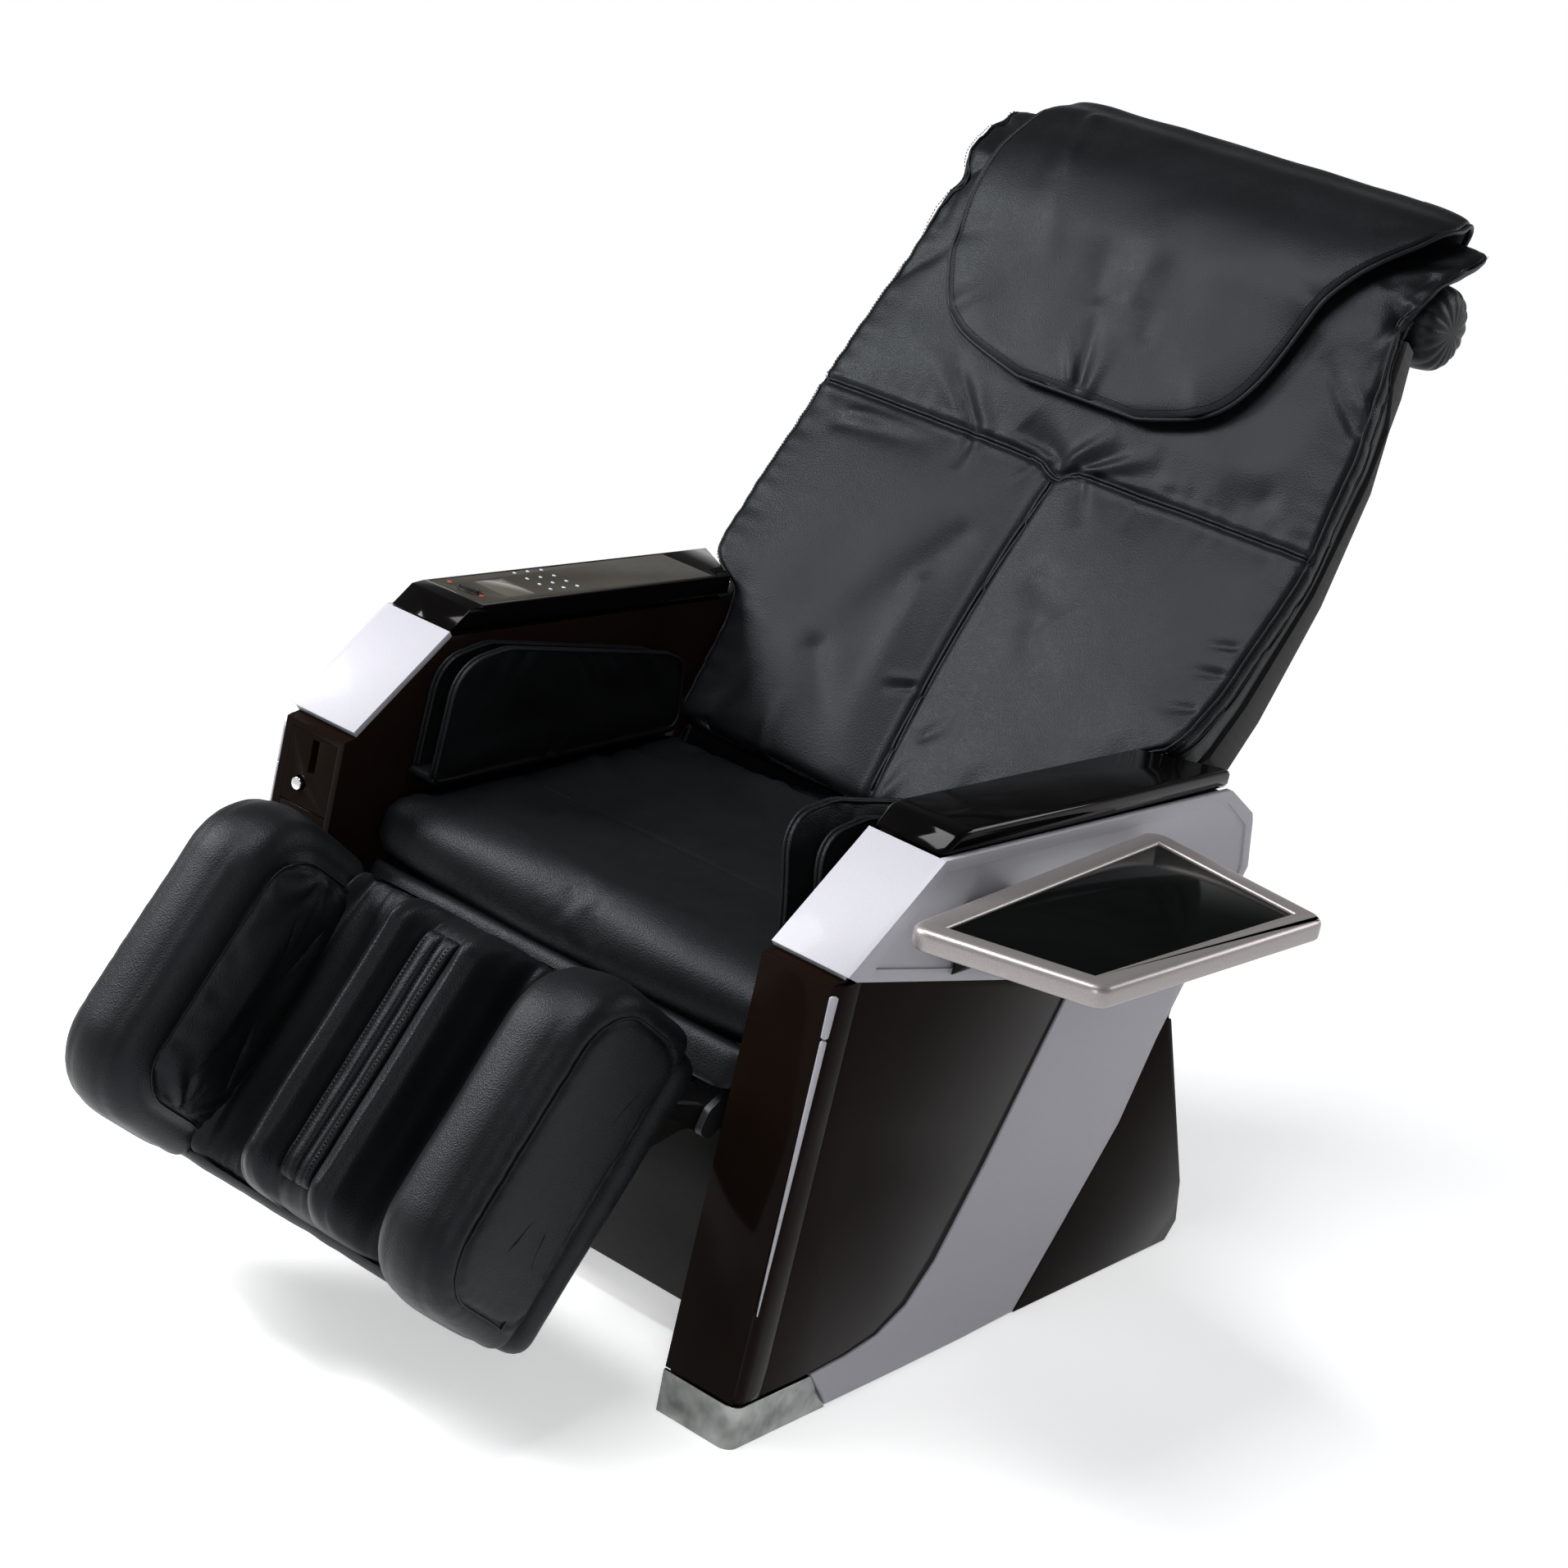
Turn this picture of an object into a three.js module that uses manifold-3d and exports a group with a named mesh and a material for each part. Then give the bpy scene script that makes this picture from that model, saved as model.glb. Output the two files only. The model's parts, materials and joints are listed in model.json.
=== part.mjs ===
// Coin-operated massage chair. Millimetres, +Z up, the chair faces -Y and the sitter's left is +X.
// The origin is on the floor, on the plane of symmetry, under the middle of the base.
import * as THREE from "three";
import { mergeVertices } from "three/addons/utils/BufferGeometryUtils.js";
import Module from "manifold-3d";

const wasm = await Module();
wasm.setup();

// ---------------------------------------------------------------- driving dimensions
const GAP = 0.4; // clearance between pieces that touch
const INNER_WALL_X = 291; // inner face of a cabinet
const OUTER_WALL_X = 385; // outer face of a cabinet
const SKIN = 5.2; // thickness of the side panels
const SHELL_WALL = 6;
const CORNER_R = 14; // upright front corner of a cabinet
const CORNER_RETURN = 38; // how far the rounded corner runs back along the side
const KICK_TOP = 48; // height of the chrome kick plate
const FRONT_FOOT_Y = -405; // front face of a cabinet at the kick plate
const FRONT_LEAN = 27 / 455; // it leans back this much for each millimetre of height
const FRONT_TOP_Z = 502;
const CAP_FOOT = [-367, 512]; // sloped front cap of an arm, lower and upper end (y, z)
const CAP_HEAD = [-242, 609];
const CAP_THICK = 8;
const ARM_REAR_Y = 300; // rear reach of the armrest pad
const ARM_PAD_TOP_FRONT = 632;
const ARM_PAD_TOP_REAR = 612;

const SEAT_HALF_WIDTH = 283;
const SEAT_PAN_Z = 322;
const SEAT_PAN_THICK = 12;
const SEAT_CROWN = 3; // how far the middle of the seat stands proud of its ends

const BACK_ANGLE = 55; // degrees from the horizontal
const BACK_PIVOT = { y: 262, z: 430 };
const CHANNEL_HALF = 222.8; // the back's steel channel frame
const CHANNEL_FLOOR = 20; // along the back's own normal
const CHANNEL_RIM = 90;
const CUSHION_REAR = 95; // rear plane of the back cushion, along the same normal
const ROLL_S = 1240; // the top bolster's centre, along the back and along its normal
const ROLL_N = 92;
const ROLL_R = 43;
const CARRIAGE_S = 754; // the roller carriage at rest

const LEG_ANGLE = 54; // the leg rest's plane, degrees from the horizontal
const LEG_PIVOT = { y: -345, z: 285 };
const LEG_REAR = 573; // rear plane of the leg rest along its own normal
const LEG_TOP = 85;
const LEG_BOTTOM = -275;
const CALF_BOLSTER = { inner: 170, outer: 272, front: 775 };

const PIVOT_R = 10; // pin of the back
const LEG_PIN_R = 8; // pin of the leg rest
const PIVOT_PLAY = 0.5;
const RAIL = { x0: 246, x1: 286, height: 40 };
const BACK_ACTUATOR_X = 70;
const LEG_ACTUATOR_X = -70;
const BACK_ACTUATOR_BASE = { y: -60, z: 110 };
const LEG_ACTUATOR_BASE = { y: 60, z: 110 };
const BACK_LUG = { y: 285, z: 330 };
const LEG_LUG = { y: -345, z: 225 };
const LUG_R = 12;

const TRAY = { top: 580, thick: 22, rim: 27, corner: 20 };
const TRAY_CORNERS = [
  [425, -350],
  [618, -290],
  [635, 90],
  [395, 125],
];
const TRAY_PIVOT = { x: 420, z: 548 };

// ---------------------------------------------------------------- finishes
const finish = (color, roughness, metalness) =>
  new THREE.MeshStandardMaterial({ color, roughness, metalness });
const FINISH = {
  gloss: () => finish(0x0a0808, 0.12, 0),
  satin: () => finish(0x1b1a1a, 0.5, 0),
  silver: () => finish(0xaaabb2, 0.35, 0.6),
  tray: () => finish(0xa89f9f, 0.4, 0.6),
  chrome: () => finish(0xb8b8b8, 0.15, 1),
  leather: () => finish(0x17181a, 0.45, 0),
  fabric: () => finish(0x131415, 0.8, 0),
  steel: () => finish(0x3b3e42, 0.5, 0.7),
  zinc: () => finish(0x9a9da0, 0.4, 0.9),
  rubber: () => finish(0x222222, 0.8, 0),
  display: () => finish(0x3c3a33, 0.2, 0),
};

// ---------------------------------------------------------------- solids: joining and cutting
const toSolid = (geometry) => {
  const bare = new THREE.BufferGeometry();
  const source = geometry.index ? geometry.toNonIndexed() : geometry;
  bare.setAttribute("position", source.getAttribute("position").clone());
  const merged = mergeVertices(bare, 1e-3);
  return new wasm.Manifold(
    new wasm.Mesh({
      numProp: 3,
      vertProperties: new Float32Array(merged.attributes.position.array),
      triVerts: new Uint32Array(merged.index.array),
    }),
  );
};
const toGeometry = (solid) => {
  const mesh = solid.getMesh();
  const geometry = new THREE.BufferGeometry();
  geometry.setAttribute("position", new THREE.BufferAttribute(mesh.vertProperties, 3));
  geometry.setIndex(new THREE.BufferAttribute(mesh.triVerts, 1));
  const flat = geometry.toNonIndexed();
  flat.computeVertexNormals();
  return flat;
};
const join = (first, ...rest) =>
  toGeometry(rest.reduce((sum, piece) => sum.add(toSolid(piece)), toSolid(first)));
const cut = (body, ...tools) =>
  toGeometry(tools.reduce((left, tool) => left.subtract(toSolid(tool)), toSolid(body)));
const overlap = (a, b) => toGeometry(toSolid(a).intersect(toSolid(b)));

// ---------------------------------------------------------------- outlines
// Points [a, b] or [a, b, radius]; a radius rounds that corner with an arc.
function outline(points, arcSteps = 5) {
  const out = [];
  points.forEach((point, i) => {
    const radius = point[2] || 0;
    const here = new THREE.Vector2(point[0], point[1]);
    if (!radius) {
      out.push(here);
      return;
    }
    const before = points[(i + points.length - 1) % points.length];
    const after = points[(i + 1) % points.length];
    const a = new THREE.Vector2(before[0], before[1]).sub(here).normalize();
    const b = new THREE.Vector2(after[0], after[1]).sub(here).normalize();
    const half = Math.acos(THREE.MathUtils.clamp(a.dot(b), -1, 1)) / 2;
    const reach = radius / Math.tan(half);
    const centre = a.clone().add(b).normalize().multiplyScalar(radius / Math.sin(half)).add(here);
    const start = here.clone().addScaledVector(a, reach).sub(centre);
    const end = here.clone().addScaledVector(b, reach).sub(centre);
    let sweep = end.angle() - start.angle();
    if (sweep > Math.PI) sweep -= 2 * Math.PI;
    if (sweep < -Math.PI) sweep += 2 * Math.PI;
    for (let k = 0; k <= arcSteps; k++)
      out.push(start.clone().rotateAround(new THREE.Vector2(), (sweep * k) / arcSteps).add(centre));
  });
  return out;
}

// The same closed outline moved inwards; the outline runs anticlockwise.
function inset(points, distance) {
  const corner = (i) => points[(i + points.length) % points.length];
  return points.map((here, i) => {
    const a = new THREE.Vector2(here[0] - corner(i - 1)[0], here[1] - corner(i - 1)[1]).normalize();
    const b = new THREE.Vector2(corner(i + 1)[0] - here[0], corner(i + 1)[1] - here[1]).normalize();
    const across = new THREE.Vector2(-a.y - b.y, a.x + b.x).normalize();
    const scale = distance / Math.max(0.3, across.dot(new THREE.Vector2(-a.y, a.x)));
    return [here[0] + across.x * scale, here[1] + across.y * scale];
  });
}

const plate = (points, depth) =>
  new THREE.ExtrudeGeometry(new THREE.Shape(outline(points)), { depth, bevelEnabled: false, steps: 1 });
const place = (geometry, x, y, z, at) =>
  geometry.applyMatrix4(new THREE.Matrix4().makeBasis(x, y, z).setPosition(at));
const X = new THREE.Vector3(1, 0, 0);
const Y = new THREE.Vector3(0, 1, 0);
const Z = new THREE.Vector3(0, 0, 1);

// A plate seen from the side: outline in (y, z), from x0 to x1.
const sidePlate = (points, x0, x1) => place(plate(points, x1 - x0), Y, Z, X, new THREE.Vector3(x0, 0, 0));
// A plate seen from above: outline in (x, y), from z0 to z1.
const topPlate = (points, z0, z1) => plate(points, z1 - z0).translate(0, 0, z0);
// A plate seen from the front: outline in (x, z), from y0 to y1.
const frontPlate = (points, y0, y1) =>
  place(plate(points, y1 - y0), X, Z, Y.clone().negate(), new THREE.Vector3(0, y1, 0));
const box = (x0, x1, y0, y1, z0, z1) =>
  new THREE.BoxGeometry(x1 - x0, y1 - y0, z1 - z0).translate((x0 + x1) / 2, (y0 + y1) / 2, (z0 + z1) / 2);
const rectangle = (a0, b0, a1, b1, radius = 0) => [
  [a0, b0, radius],
  [a1, b0, radius],
  [a1, b1, radius],
  [a0, b1, radius],
];
// Round bars along X and along Y.
const barX = (radius, x0, x1, y, z, sides = 16) =>
  new THREE.CylinderGeometry(radius, radius, x1 - x0, sides)
    .rotateZ(Math.PI / 2)
    .translate((x0 + x1) / 2, y, z);
const barY = (radius, y0, y1, x, z, sides = 16) =>
  new THREE.CylinderGeometry(radius, radius, y1 - y0, sides).translate(x, (y0 + y1) / 2, z);

// A body turned about the X axis from a profile of [radius, x] points.
const turned = (profile, sides) => {
  const lathe = new THREE.LatheGeometry(
    profile.map(([radius, x]) => new THREE.Vector2(radius, x)),
    sides,
  );
  return toGeometry(toSolid(lathe.rotateZ(-Math.PI / 2)));
};

// A solid through rings that hold the same number of points, closed by a fan at each end.
function loft(rings) {
  const count = rings[0].length;
  const points = rings.flat();
  const middle = (ring) =>
    ring.reduce((sum, p) => sum.add(p), new THREE.Vector3()).multiplyScalar(1 / ring.length);
  const first = points.push(middle(rings[0])) - 1;
  const last = points.push(middle(rings[rings.length - 1])) - 1;
  const faces = [];
  for (let i = 0; i < count; i++) {
    const next = (i + 1) % count;
    for (let r = 0; r + 1 < rings.length; r++) {
      const a = r * count;
      const b = a + count;
      faces.push([a + i, a + next, b + next], [a + i, b + next, b + i]);
    }
    const end = (rings.length - 1) * count;
    faces.push([first, next, i], [last, end + i, end + next]);
  }
  const volume = faces.reduce(
    (sum, [a, b, c]) => sum + points[a].dot(points[b].clone().cross(points[c])),
    0,
  );
  const facingOut = volume < 0 ? faces.map(([a, b, c]) => [a, c, b]) : faces;
  const geometry = new THREE.BufferGeometry();
  geometry.setAttribute(
    "position",
    new THREE.Float32BufferAttribute(facingOut.flat().flatMap((i) => points[i].toArray()), 3),
  );
  geometry.computeVertexNormals();
  return geometry;
}

// Straight-line reading of a list of [input, output] pairs, eased at each pair.
function along(pairs, value) {
  const i = Math.max(
    0,
    pairs.findIndex((pair, k) => k + 1 === pairs.length - 1 || value < pairs[k + 1][0]),
  );
  const [a0, b0] = pairs[i];
  const [a1, b1] = pairs[i + 1];
  const t = THREE.MathUtils.clamp((value - a0) / (a1 - a0), 0, 1);
  return b0 + (b1 - b0) * (t * t * (3 - 2 * t) * 0.5 + t * 0.5);
}

// A quarter circle from 0 at an end to 1 at `run` from it.
const roundedEnd = (distance, run) =>
  Math.sqrt(Math.max(0, 1 - (1 - THREE.MathUtils.clamp(distance / run, 0, 1)) ** 2));

// A cushion whose section, an outline in (y, z), runs from x0 to x1: the ends round off by `edge`
// and the middle stands `crown` proud.
function crossCushion(points, x0, x1, { edge, crown, spans = 6, arcSteps = 4 }) {
  const section = outline(points, arcSteps);
  const count = section.length;
  const outward = section.map((p, i) => {
    const tangent = section[(i + 1) % count].clone().sub(section[(i + count - 1) % count]).normalize();
    return new THREE.Vector2(tangent.y, -tangent.x);
  });
  const stations = [];
  const EDGE_STEPS = 3;
  for (let k = 0; k <= EDGE_STEPS; k++) {
    const angle = (k / EDGE_STEPS) * (Math.PI / 2);
    stations.push([edge * (1 - Math.cos(angle)), edge * (1 - Math.sin(angle))]);
  }
  const length = x1 - x0;
  const rings = [];
  const ring = (x, drawnIn) => {
    const t = (2 * (x - x0)) / length - 1;
    const proud = crown * (1 - t * t) - drawnIn;
    const moved = section.map((p, i) => p.clone().addScaledVector(outward[i], proud));
    rings.push(moved.map((p) => new THREE.Vector3(x, p.x, p.y)));
  };
  stations.forEach(([dx, drawnIn]) => ring(x0 + dx, drawnIn));
  for (let k = 1; k < spans; k++) ring(x0 + edge + ((length - 2 * edge) * k) / spans, 0);
  stations.reverse().forEach(([dx, drawnIn]) => ring(x1 - dx, drawnIn));
  return loft(rings);
}

const piece = (name, material, geometry) => {
  const mesh = new THREE.Mesh(geometry, material);
  mesh.name = name;
  return mesh;
};
const frontY = (z) => FRONT_FOOT_Y + (z - KICK_TOP) * FRONT_LEAN;
const trimTopZ = (y) => 608 - ((y + 240) * 19) / 531; // upper edge of the silver arm trim
const padTopZ = (y) =>
  ARM_PAD_TOP_FRONT - ((y + 196) * (ARM_PAD_TOP_FRONT - ARM_PAD_TOP_REAR)) / (ARM_REAR_Y + 196);
// Sheared back like the front face; y is the depth behind that face.
const leaning = (geometry) =>
  geometry.applyMatrix4(
    new THREE.Matrix4().set(1, 0, 0, 0, 0, 1, FRONT_LEAN, frontY(0), 0, 0, 1, 0, 0, 0, 0, 1),
  );
// A slab that follows the leaning front face, from depth d0 to depth d1 behind it.
const frontSlab = (x0, x1, z0, z1, d0, d1) =>
  sidePlate(
    [
      [frontY(z0) + d0, z0],
      [frontY(z0) + d1, z0],
      [frontY(z1) + d1, z1],
      [frontY(z1) + d0, z1],
    ],
    x0,
    x1,
  );

// ---------------------------------------------------------------- cabinets, built for +X
// The diagonal strip's front edge, crease and rear edge, from the arm trim down to the kick plate.
const STRIP_FRONT = [[49, 404.4], [2, 312], [-43, 222], [-98, 124],
  [-136, 82], [-180, 60], [-230, 52], [-287, 49]];
const STRIP_CREASE = [[128, 391.4], [88, 292], [50, 210], [5, 115],
  [-40, 62], [-95, 32], [-170, 20], [-264, 20]];
const STRIP_REAR = [[298, 363.4], [262, 297], [222, 201], [157, 106],
  [86, 4], [0, 1.5], [-120, 1.5], [-251, 1.5]];

const capShift = (point, distance) => {
  const run = new THREE.Vector2(CAP_HEAD[0] - CAP_FOOT[0], CAP_HEAD[1] - CAP_FOOT[1]).normalize();
  return [point[0] + run.y * distance, point[1] - run.x * distance];
};

const shellOutline = () => [
  [frontY(KICK_TOP + 2), KICK_TOP + 2],
  [-395, KICK_TOP + 2],
  [-395, 1],
  [395, 1],
  [411, 24],
  [398, 79],
  [285, 316],
  [296, 362],
  [361, 484],
  [346, 546],
  [289, trimTopZ(289) - 5],
  capShift(CAP_HEAD, CAP_THICK + GAP),
  capShift(CAP_FOOT, CAP_THICK + GAP),
  [frontY(FRONT_TOP_Z), FRONT_TOP_Z],
];

function cabinetShell() {
  const inner = OUTER_WALL_X - SKIN - GAP;
  const body = sidePlate(shellOutline(), INNER_WALL_X, inner);
  const hollow = sidePlate(inset(shellOutline(), SHELL_WALL), INNER_WALL_X + SHELL_WALL, inner + 1);
  const corner = topPlate(
    [
      [INNER_WALL_X + 10, 0.01],
      [OUTER_WALL_X, 0.01, CORNER_R],
      [OUTER_WALL_X, CORNER_RETURN],
      [inner - 0.2, CORNER_RETURN],
      [inner - 0.2, SHELL_WALL],
      [INNER_WALL_X + 10, SHELL_WALL],
    ],
    KICK_TOP + 2,
    FRONT_TOP_Z - 1,
  );
  return join(cut(body, hollow), leaning(corner));
}

const sidePanel = () =>
  sidePlate(
    [
      [frontY(KICK_TOP + 2) + CORNER_RETURN + GAP, KICK_TOP + 2],
      [-287, KICK_TOP + 2],
      ...STRIP_FRONT.slice(0, -1)
        .reverse()
        .map(([y, z]) => [y - 0.9, z + 0.9]),
      [-19.2, 432.2],
      [-170, 465.2],
      [frontY(FRONT_TOP_Z) + CORNER_RETURN + GAP, 500.6],
    ],
    OUTER_WALL_X - SKIN,
    OUTER_WALL_X,
  );

const rearPanel = () =>
  sidePlate(
    [
      [88, 2],
      [394, 2],
      [410.4, 24],
      [397.4, 79],
      [284.6, 314],
      [273, 313.6],
      [262.9, 296.5],
      [222.9, 200.5],
      [157.9, 105.5],
    ],
    OUTER_WALL_X - SKIN,
    OUTER_WALL_X - 1,
  );

function sideStrip() {
  const back = OUTER_WALL_X - SKIN;
  const REAR_FACET = 0.12; // the narrow third facet along the rear edge
  const rings = STRIP_FRONT.map(([fy, fz], i) => {
    const [cy, cz] = STRIP_CREASE[i];
    const [ry, rz] = STRIP_REAR[i];
    const nearRear = [ry + (cy - ry) * REAR_FACET, rz + (cz - rz) * REAR_FACET];
    return [
      new THREE.Vector3(back, fy, fz),
      new THREE.Vector3(OUTER_WALL_X + 1.5, fy, fz),
      new THREE.Vector3(OUTER_WALL_X + 6, cy, cz),
      new THREE.Vector3(OUTER_WALL_X + 3, nearRear[0], nearRear[1]),
      new THREE.Vector3(OUTER_WALL_X - 1, ry, rz),
      new THREE.Vector3(back, ry, rz),
    ];
  });
  return loft(rings);
}

const ARM_TRIM = [[-352, 504], [-170, 466], [-19, 433], [48, 405.4], [299, 364.4], [366, 485], [352, 542],
  [347, 553], [291, 589], CAP_HEAD, CAP_FOOT];
const ARM_FIELD = [[-352, 504], [-170, 466], [-19, 433], [48, 405.4], [299, 364.4], [366, 485], [350, 548],
  [291, 589], CAP_HEAD]; // its recessed field follows the trim inside a raised border
const ARM_BORDER = 13;

function armTrim() {
  const back = OUTER_WALL_X - SKIN;
  const side = sidePlate(ARM_TRIM, back, OUTER_WALL_X + 3);
  const field = sidePlate(inset(ARM_FIELD, ARM_BORDER), OUTER_WALL_X + 0.6, OUTER_WALL_X + 9);
  const cap = sidePlate(
    [CAP_FOOT, capShift(CAP_FOOT, CAP_THICK), capShift(CAP_HEAD, CAP_THICK), CAP_HEAD],
    INNER_WALL_X,
    back + 1,
  );
  return join(cut(side, field), cap);
}

function kickPlate() {
  const wall = 4;
  const front = FRONT_FOOT_Y - 2;
  const side = OUTER_WALL_X + 2;
  const plan = (rear) => [
    [INNER_WALL_X, front],
    [side, front, CORNER_R],
    [side, rear],
    [side - wall - 2, rear],
    [side - wall - 2, front + wall, CORNER_R - wall],
    [INNER_WALL_X, front + wall],
  ];
  const rearEnd = sidePlate(
    [
      [-460, -5],
      [-251.6, -5],
      [-251.6, 1],
      [-288, KICK_TOP],
      [-288, 60],
      [-460, 60],
    ],
    200,
    500,
  );
  return overlap(topPlate(plan(-240), 0, KICK_TOP), rearEnd);
}

// The armrest's pad ends at the back on a slant in plan, 62 mm further back at its outer edge.
const armRearCut = (y0, y1) => [
  [INNER_WALL_X - 20, -420],
  [OUTER_WALL_X + 20, -420],
  [OUTER_WALL_X + 20, y1 + 14],
  [INNER_WALL_X - 20, y0 - 14],
];
const padLine = (y0, y1, d0, d1) => [
  [y0, padTopZ(y0) + d0],
  [y1, padTopZ(y1) + d0],
  [y1, padTopZ(y1) + d1],
  [y0, padTopZ(y0) + d1],
];

const CONTROL = { y0: -190, y1: 204, x0: 297, x1: 377, thick: 1.6 };
const DISPLAY = { y0: -138, y1: -92, x0: 308, x1: 362 };
const KEY = { y: -168, x: 338, rx: 13, ry: 7 };

const ellipse = (cx, cy, rx, ry, count = 20) =>
  Array.from({ length: count }, (_, i) => {
    const angle = (2 * Math.PI * i) / count;
    return [cx + rx * Math.cos(angle), cy + ry * Math.sin(angle)];
  });
const keyHole = (grow, z0, z1) => topPlate(ellipse(KEY.x, KEY.y, KEY.rx + grow, KEY.ry + grow), z0, z1);

function armrestTop(withControls) {
  const side = [
    [-241, 609.6],
    [ARM_REAR_Y, trimTopZ(ARM_REAR_Y) + 1],
    [ARM_REAR_Y, ARM_PAD_TOP_REAR],
    [-196, ARM_PAD_TOP_FRONT, 30],
    [-214, 630.5],
  ];
  const pad = sidePlate(side, INNER_WALL_X, OUTER_WALL_X - 3);
  const shaped = overlap(pad, topPlate(armRearCut(230, 292), 560, 660));
  if (!withControls) return shaped;
  const bed = padLine(CONTROL.y0 - GAP, CONTROL.y1 + GAP, -CONTROL.thick - GAP, 9);
  const recess = sidePlate(bed, CONTROL.x0 - GAP, CONTROL.x1 + GAP);
  const rear = overlap(recess, topPlate(armRearCut(206, 262), 560, 690));
  return cut(shaped, rear, keyHole(0.6, 622, 660));
}

function controlPanel() {
  const overlay = sidePlate(padLine(CONTROL.y0, CONTROL.y1, -CONTROL.thick, 0), CONTROL.x0, CONTROL.x1);
  const shaped = overlap(overlay, topPlate(armRearCut(205, 261), 560, 690));
  const window = topPlate(rectangle(DISPLAY.x0, DISPLAY.y0, DISPLAY.x1, DISPLAY.y1), 600, 660);
  return cut(shaped, window, keyHole(0.6, 600, 660));
}

function displayWindow() {
  const pane = padLine(DISPLAY.y0 + GAP, DISPLAY.y1 - GAP, -CONTROL.thick, -0.3);
  return sidePlate(pane, DISPLAY.x0 + GAP, DISPLAY.x1 - GAP);
}

const powerKey = () =>
  overlap(
    topPlate(ellipse(KEY.x, KEY.y, KEY.rx, KEY.ry), 600, 660),
    sidePlate(padLine(KEY.y - 20, KEY.y + 20, -6, 2.4), KEY.x - 20, KEY.x + 20),
  );

// Arm cuff: two leather leaves side by side, joined along the bottom.
function armCuff() {
  const leaf = [
    [-288, 452],
    [128, 452, 14],
    [112, 545, 24],
    [90, 555, 20],
    [-200, 600, 34],
    [-266, 592, 30],
  ];
  const pouch = sidePlate(leaf, 246, INNER_WALL_X - GAP);
  const gap = sidePlate(rectangle(-330, 463, 160, 640), 257, 279);
  return cut(pouch, gap);
}

// ---------------------------------------------------------------- coin side, built for +X and mirrored
const APERTURE = { x0: 300, x1: 368, z0: 140, zSeam: 413, z1: 494 };
const SLOT = { x: 331, z0: 452, z1: 492 };
const RETURN_CUP = { x: 345, z: 437, r: 9 };
const LOCK = { x: 312, z: 320, r: 8 };

const apertureCut = () =>
  frontSlab(APERTURE.x0 - GAP, APERTURE.x1 + GAP, APERTURE.z0 - GAP, APERTURE.z1 + GAP, -5, SHELL_WALL + 3);

// Round bar square to the leaning front face, from depth d0 to depth d1 behind it.
const frontBar = (radius, x, z, d0, d1, sides = 16) =>
  new THREE.CylinderGeometry(radius, radius, d1 - d0, sides)
    .translate(0, (d0 + d1) / 2, 0)
    .rotateX(-Math.atan(FRONT_LEAN))
    .translate(x, frontY(z), z);

function coinPanel() {
  const panel = frontSlab(APERTURE.x0, APERTURE.x1, APERTURE.zSeam + 0.6, APERTURE.z1, 0, SHELL_WALL);
  const backing = frontSlab(SLOT.x - 14, SLOT.x + 26, 424, APERTURE.z1, SHELL_WALL - 0.5, 20);
  const slot = frontSlab(SLOT.x - 5, SLOT.x + 5, SLOT.z0, SLOT.z1 - 2, -5, 14);
  const coinWay = frontSlab(SLOT.x - 1.6, SLOT.x + 1.6, SLOT.z0 + 4, SLOT.z1 - 6, 10, 24);
  const cup = frontBar(RETURN_CUP.r, RETURN_CUP.x, RETURN_CUP.z, -5, 7);
  const shaft = frontBar(5.5, RETURN_CUP.x, RETURN_CUP.z, 5, 24);
  return cut(join(panel, backing), slot, coinWay, cup, shaft);
}

const coinReturnButton = () =>
  join(
    frontBar(5, RETURN_CUP.x, RETURN_CUP.z, 0, 16),
    frontBar(7.2, RETURN_CUP.x, RETURN_CUP.z, -5, 2),
  );

function cashDoor() {
  const door = frontSlab(APERTURE.x0, APERTURE.x1, APERTURE.z0, APERTURE.zSeam - 0.6, 0, SHELL_WALL);
  return cut(door, frontBar(LOCK.r + GAP, LOCK.x, LOCK.z, -5, 20));
}

const cashDoorLock = () =>
  join(
    frontBar(LOCK.r, LOCK.x, LOCK.z, -2, 22),
    frontSlab(LOCK.x - 5, LOCK.x + 5, LOCK.z - 4, LOCK.z + 24, SHELL_WALL + 2, SHELL_WALL + 6),
  );

const coinAcceptor = () =>
  cut(
    frontSlab(304, 366, 424, 494, 27, 88),
    frontSlab(SLOT.x - 2, SLOT.x + 2, SLOT.z0, SLOT.z1 - 2, 20, 70),
    frontSlab(RETURN_CUP.x - 8, RETURN_CUP.x + 8, RETURN_CUP.z - 8, RETURN_CUP.z + 8, 20, 32),
  );

const coinBox = () =>
  cut(
    box(306, 366, -366, -246, 170, 330),
    box(309, 363, -363, -249, 173, 340),
  );

// ---------------------------------------------------------------- base
const baseFrame = () =>
  join(
    box(RAIL.x0, RAIL.x1, -190, 388, 0, RAIL.height),
    box(256, RAIL.x1, 240, 284, RAIL.height - 1, BACK_PIVOT.z + 20),
    barX(PIVOT_R, 210, 257, BACK_PIVOT.y, BACK_PIVOT.z, 20),
  );

// A bracket with a pin, from a cross tube up to an actuator's base pivot.
function actuatorBracket(x, pivot) {
  const side = Math.sign(pivot.y);
  const ear = sidePlate(
    side < 0
      ? [
          [pivot.y - 14, pivot.z + 12, 8],
          [pivot.y - 14, pivot.z - 14, 8],
          [-20, 30],
          [18, 30],
          [18, 60, 10],
          [pivot.y + 14, pivot.z + 12, 8],
        ]
      : [
          [-18, 30],
          [20, 30],
          [pivot.y + 14, pivot.z - 14, 8],
          [pivot.y + 14, pivot.z + 12, 8],
          [pivot.y - 14, pivot.z + 12, 8],
          [-18, 60, 10],
        ],
    x - 27,
    x - 21,
  );
  return join(ear, barX(7, x - 22, x + 10, pivot.y, pivot.z));
}

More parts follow.
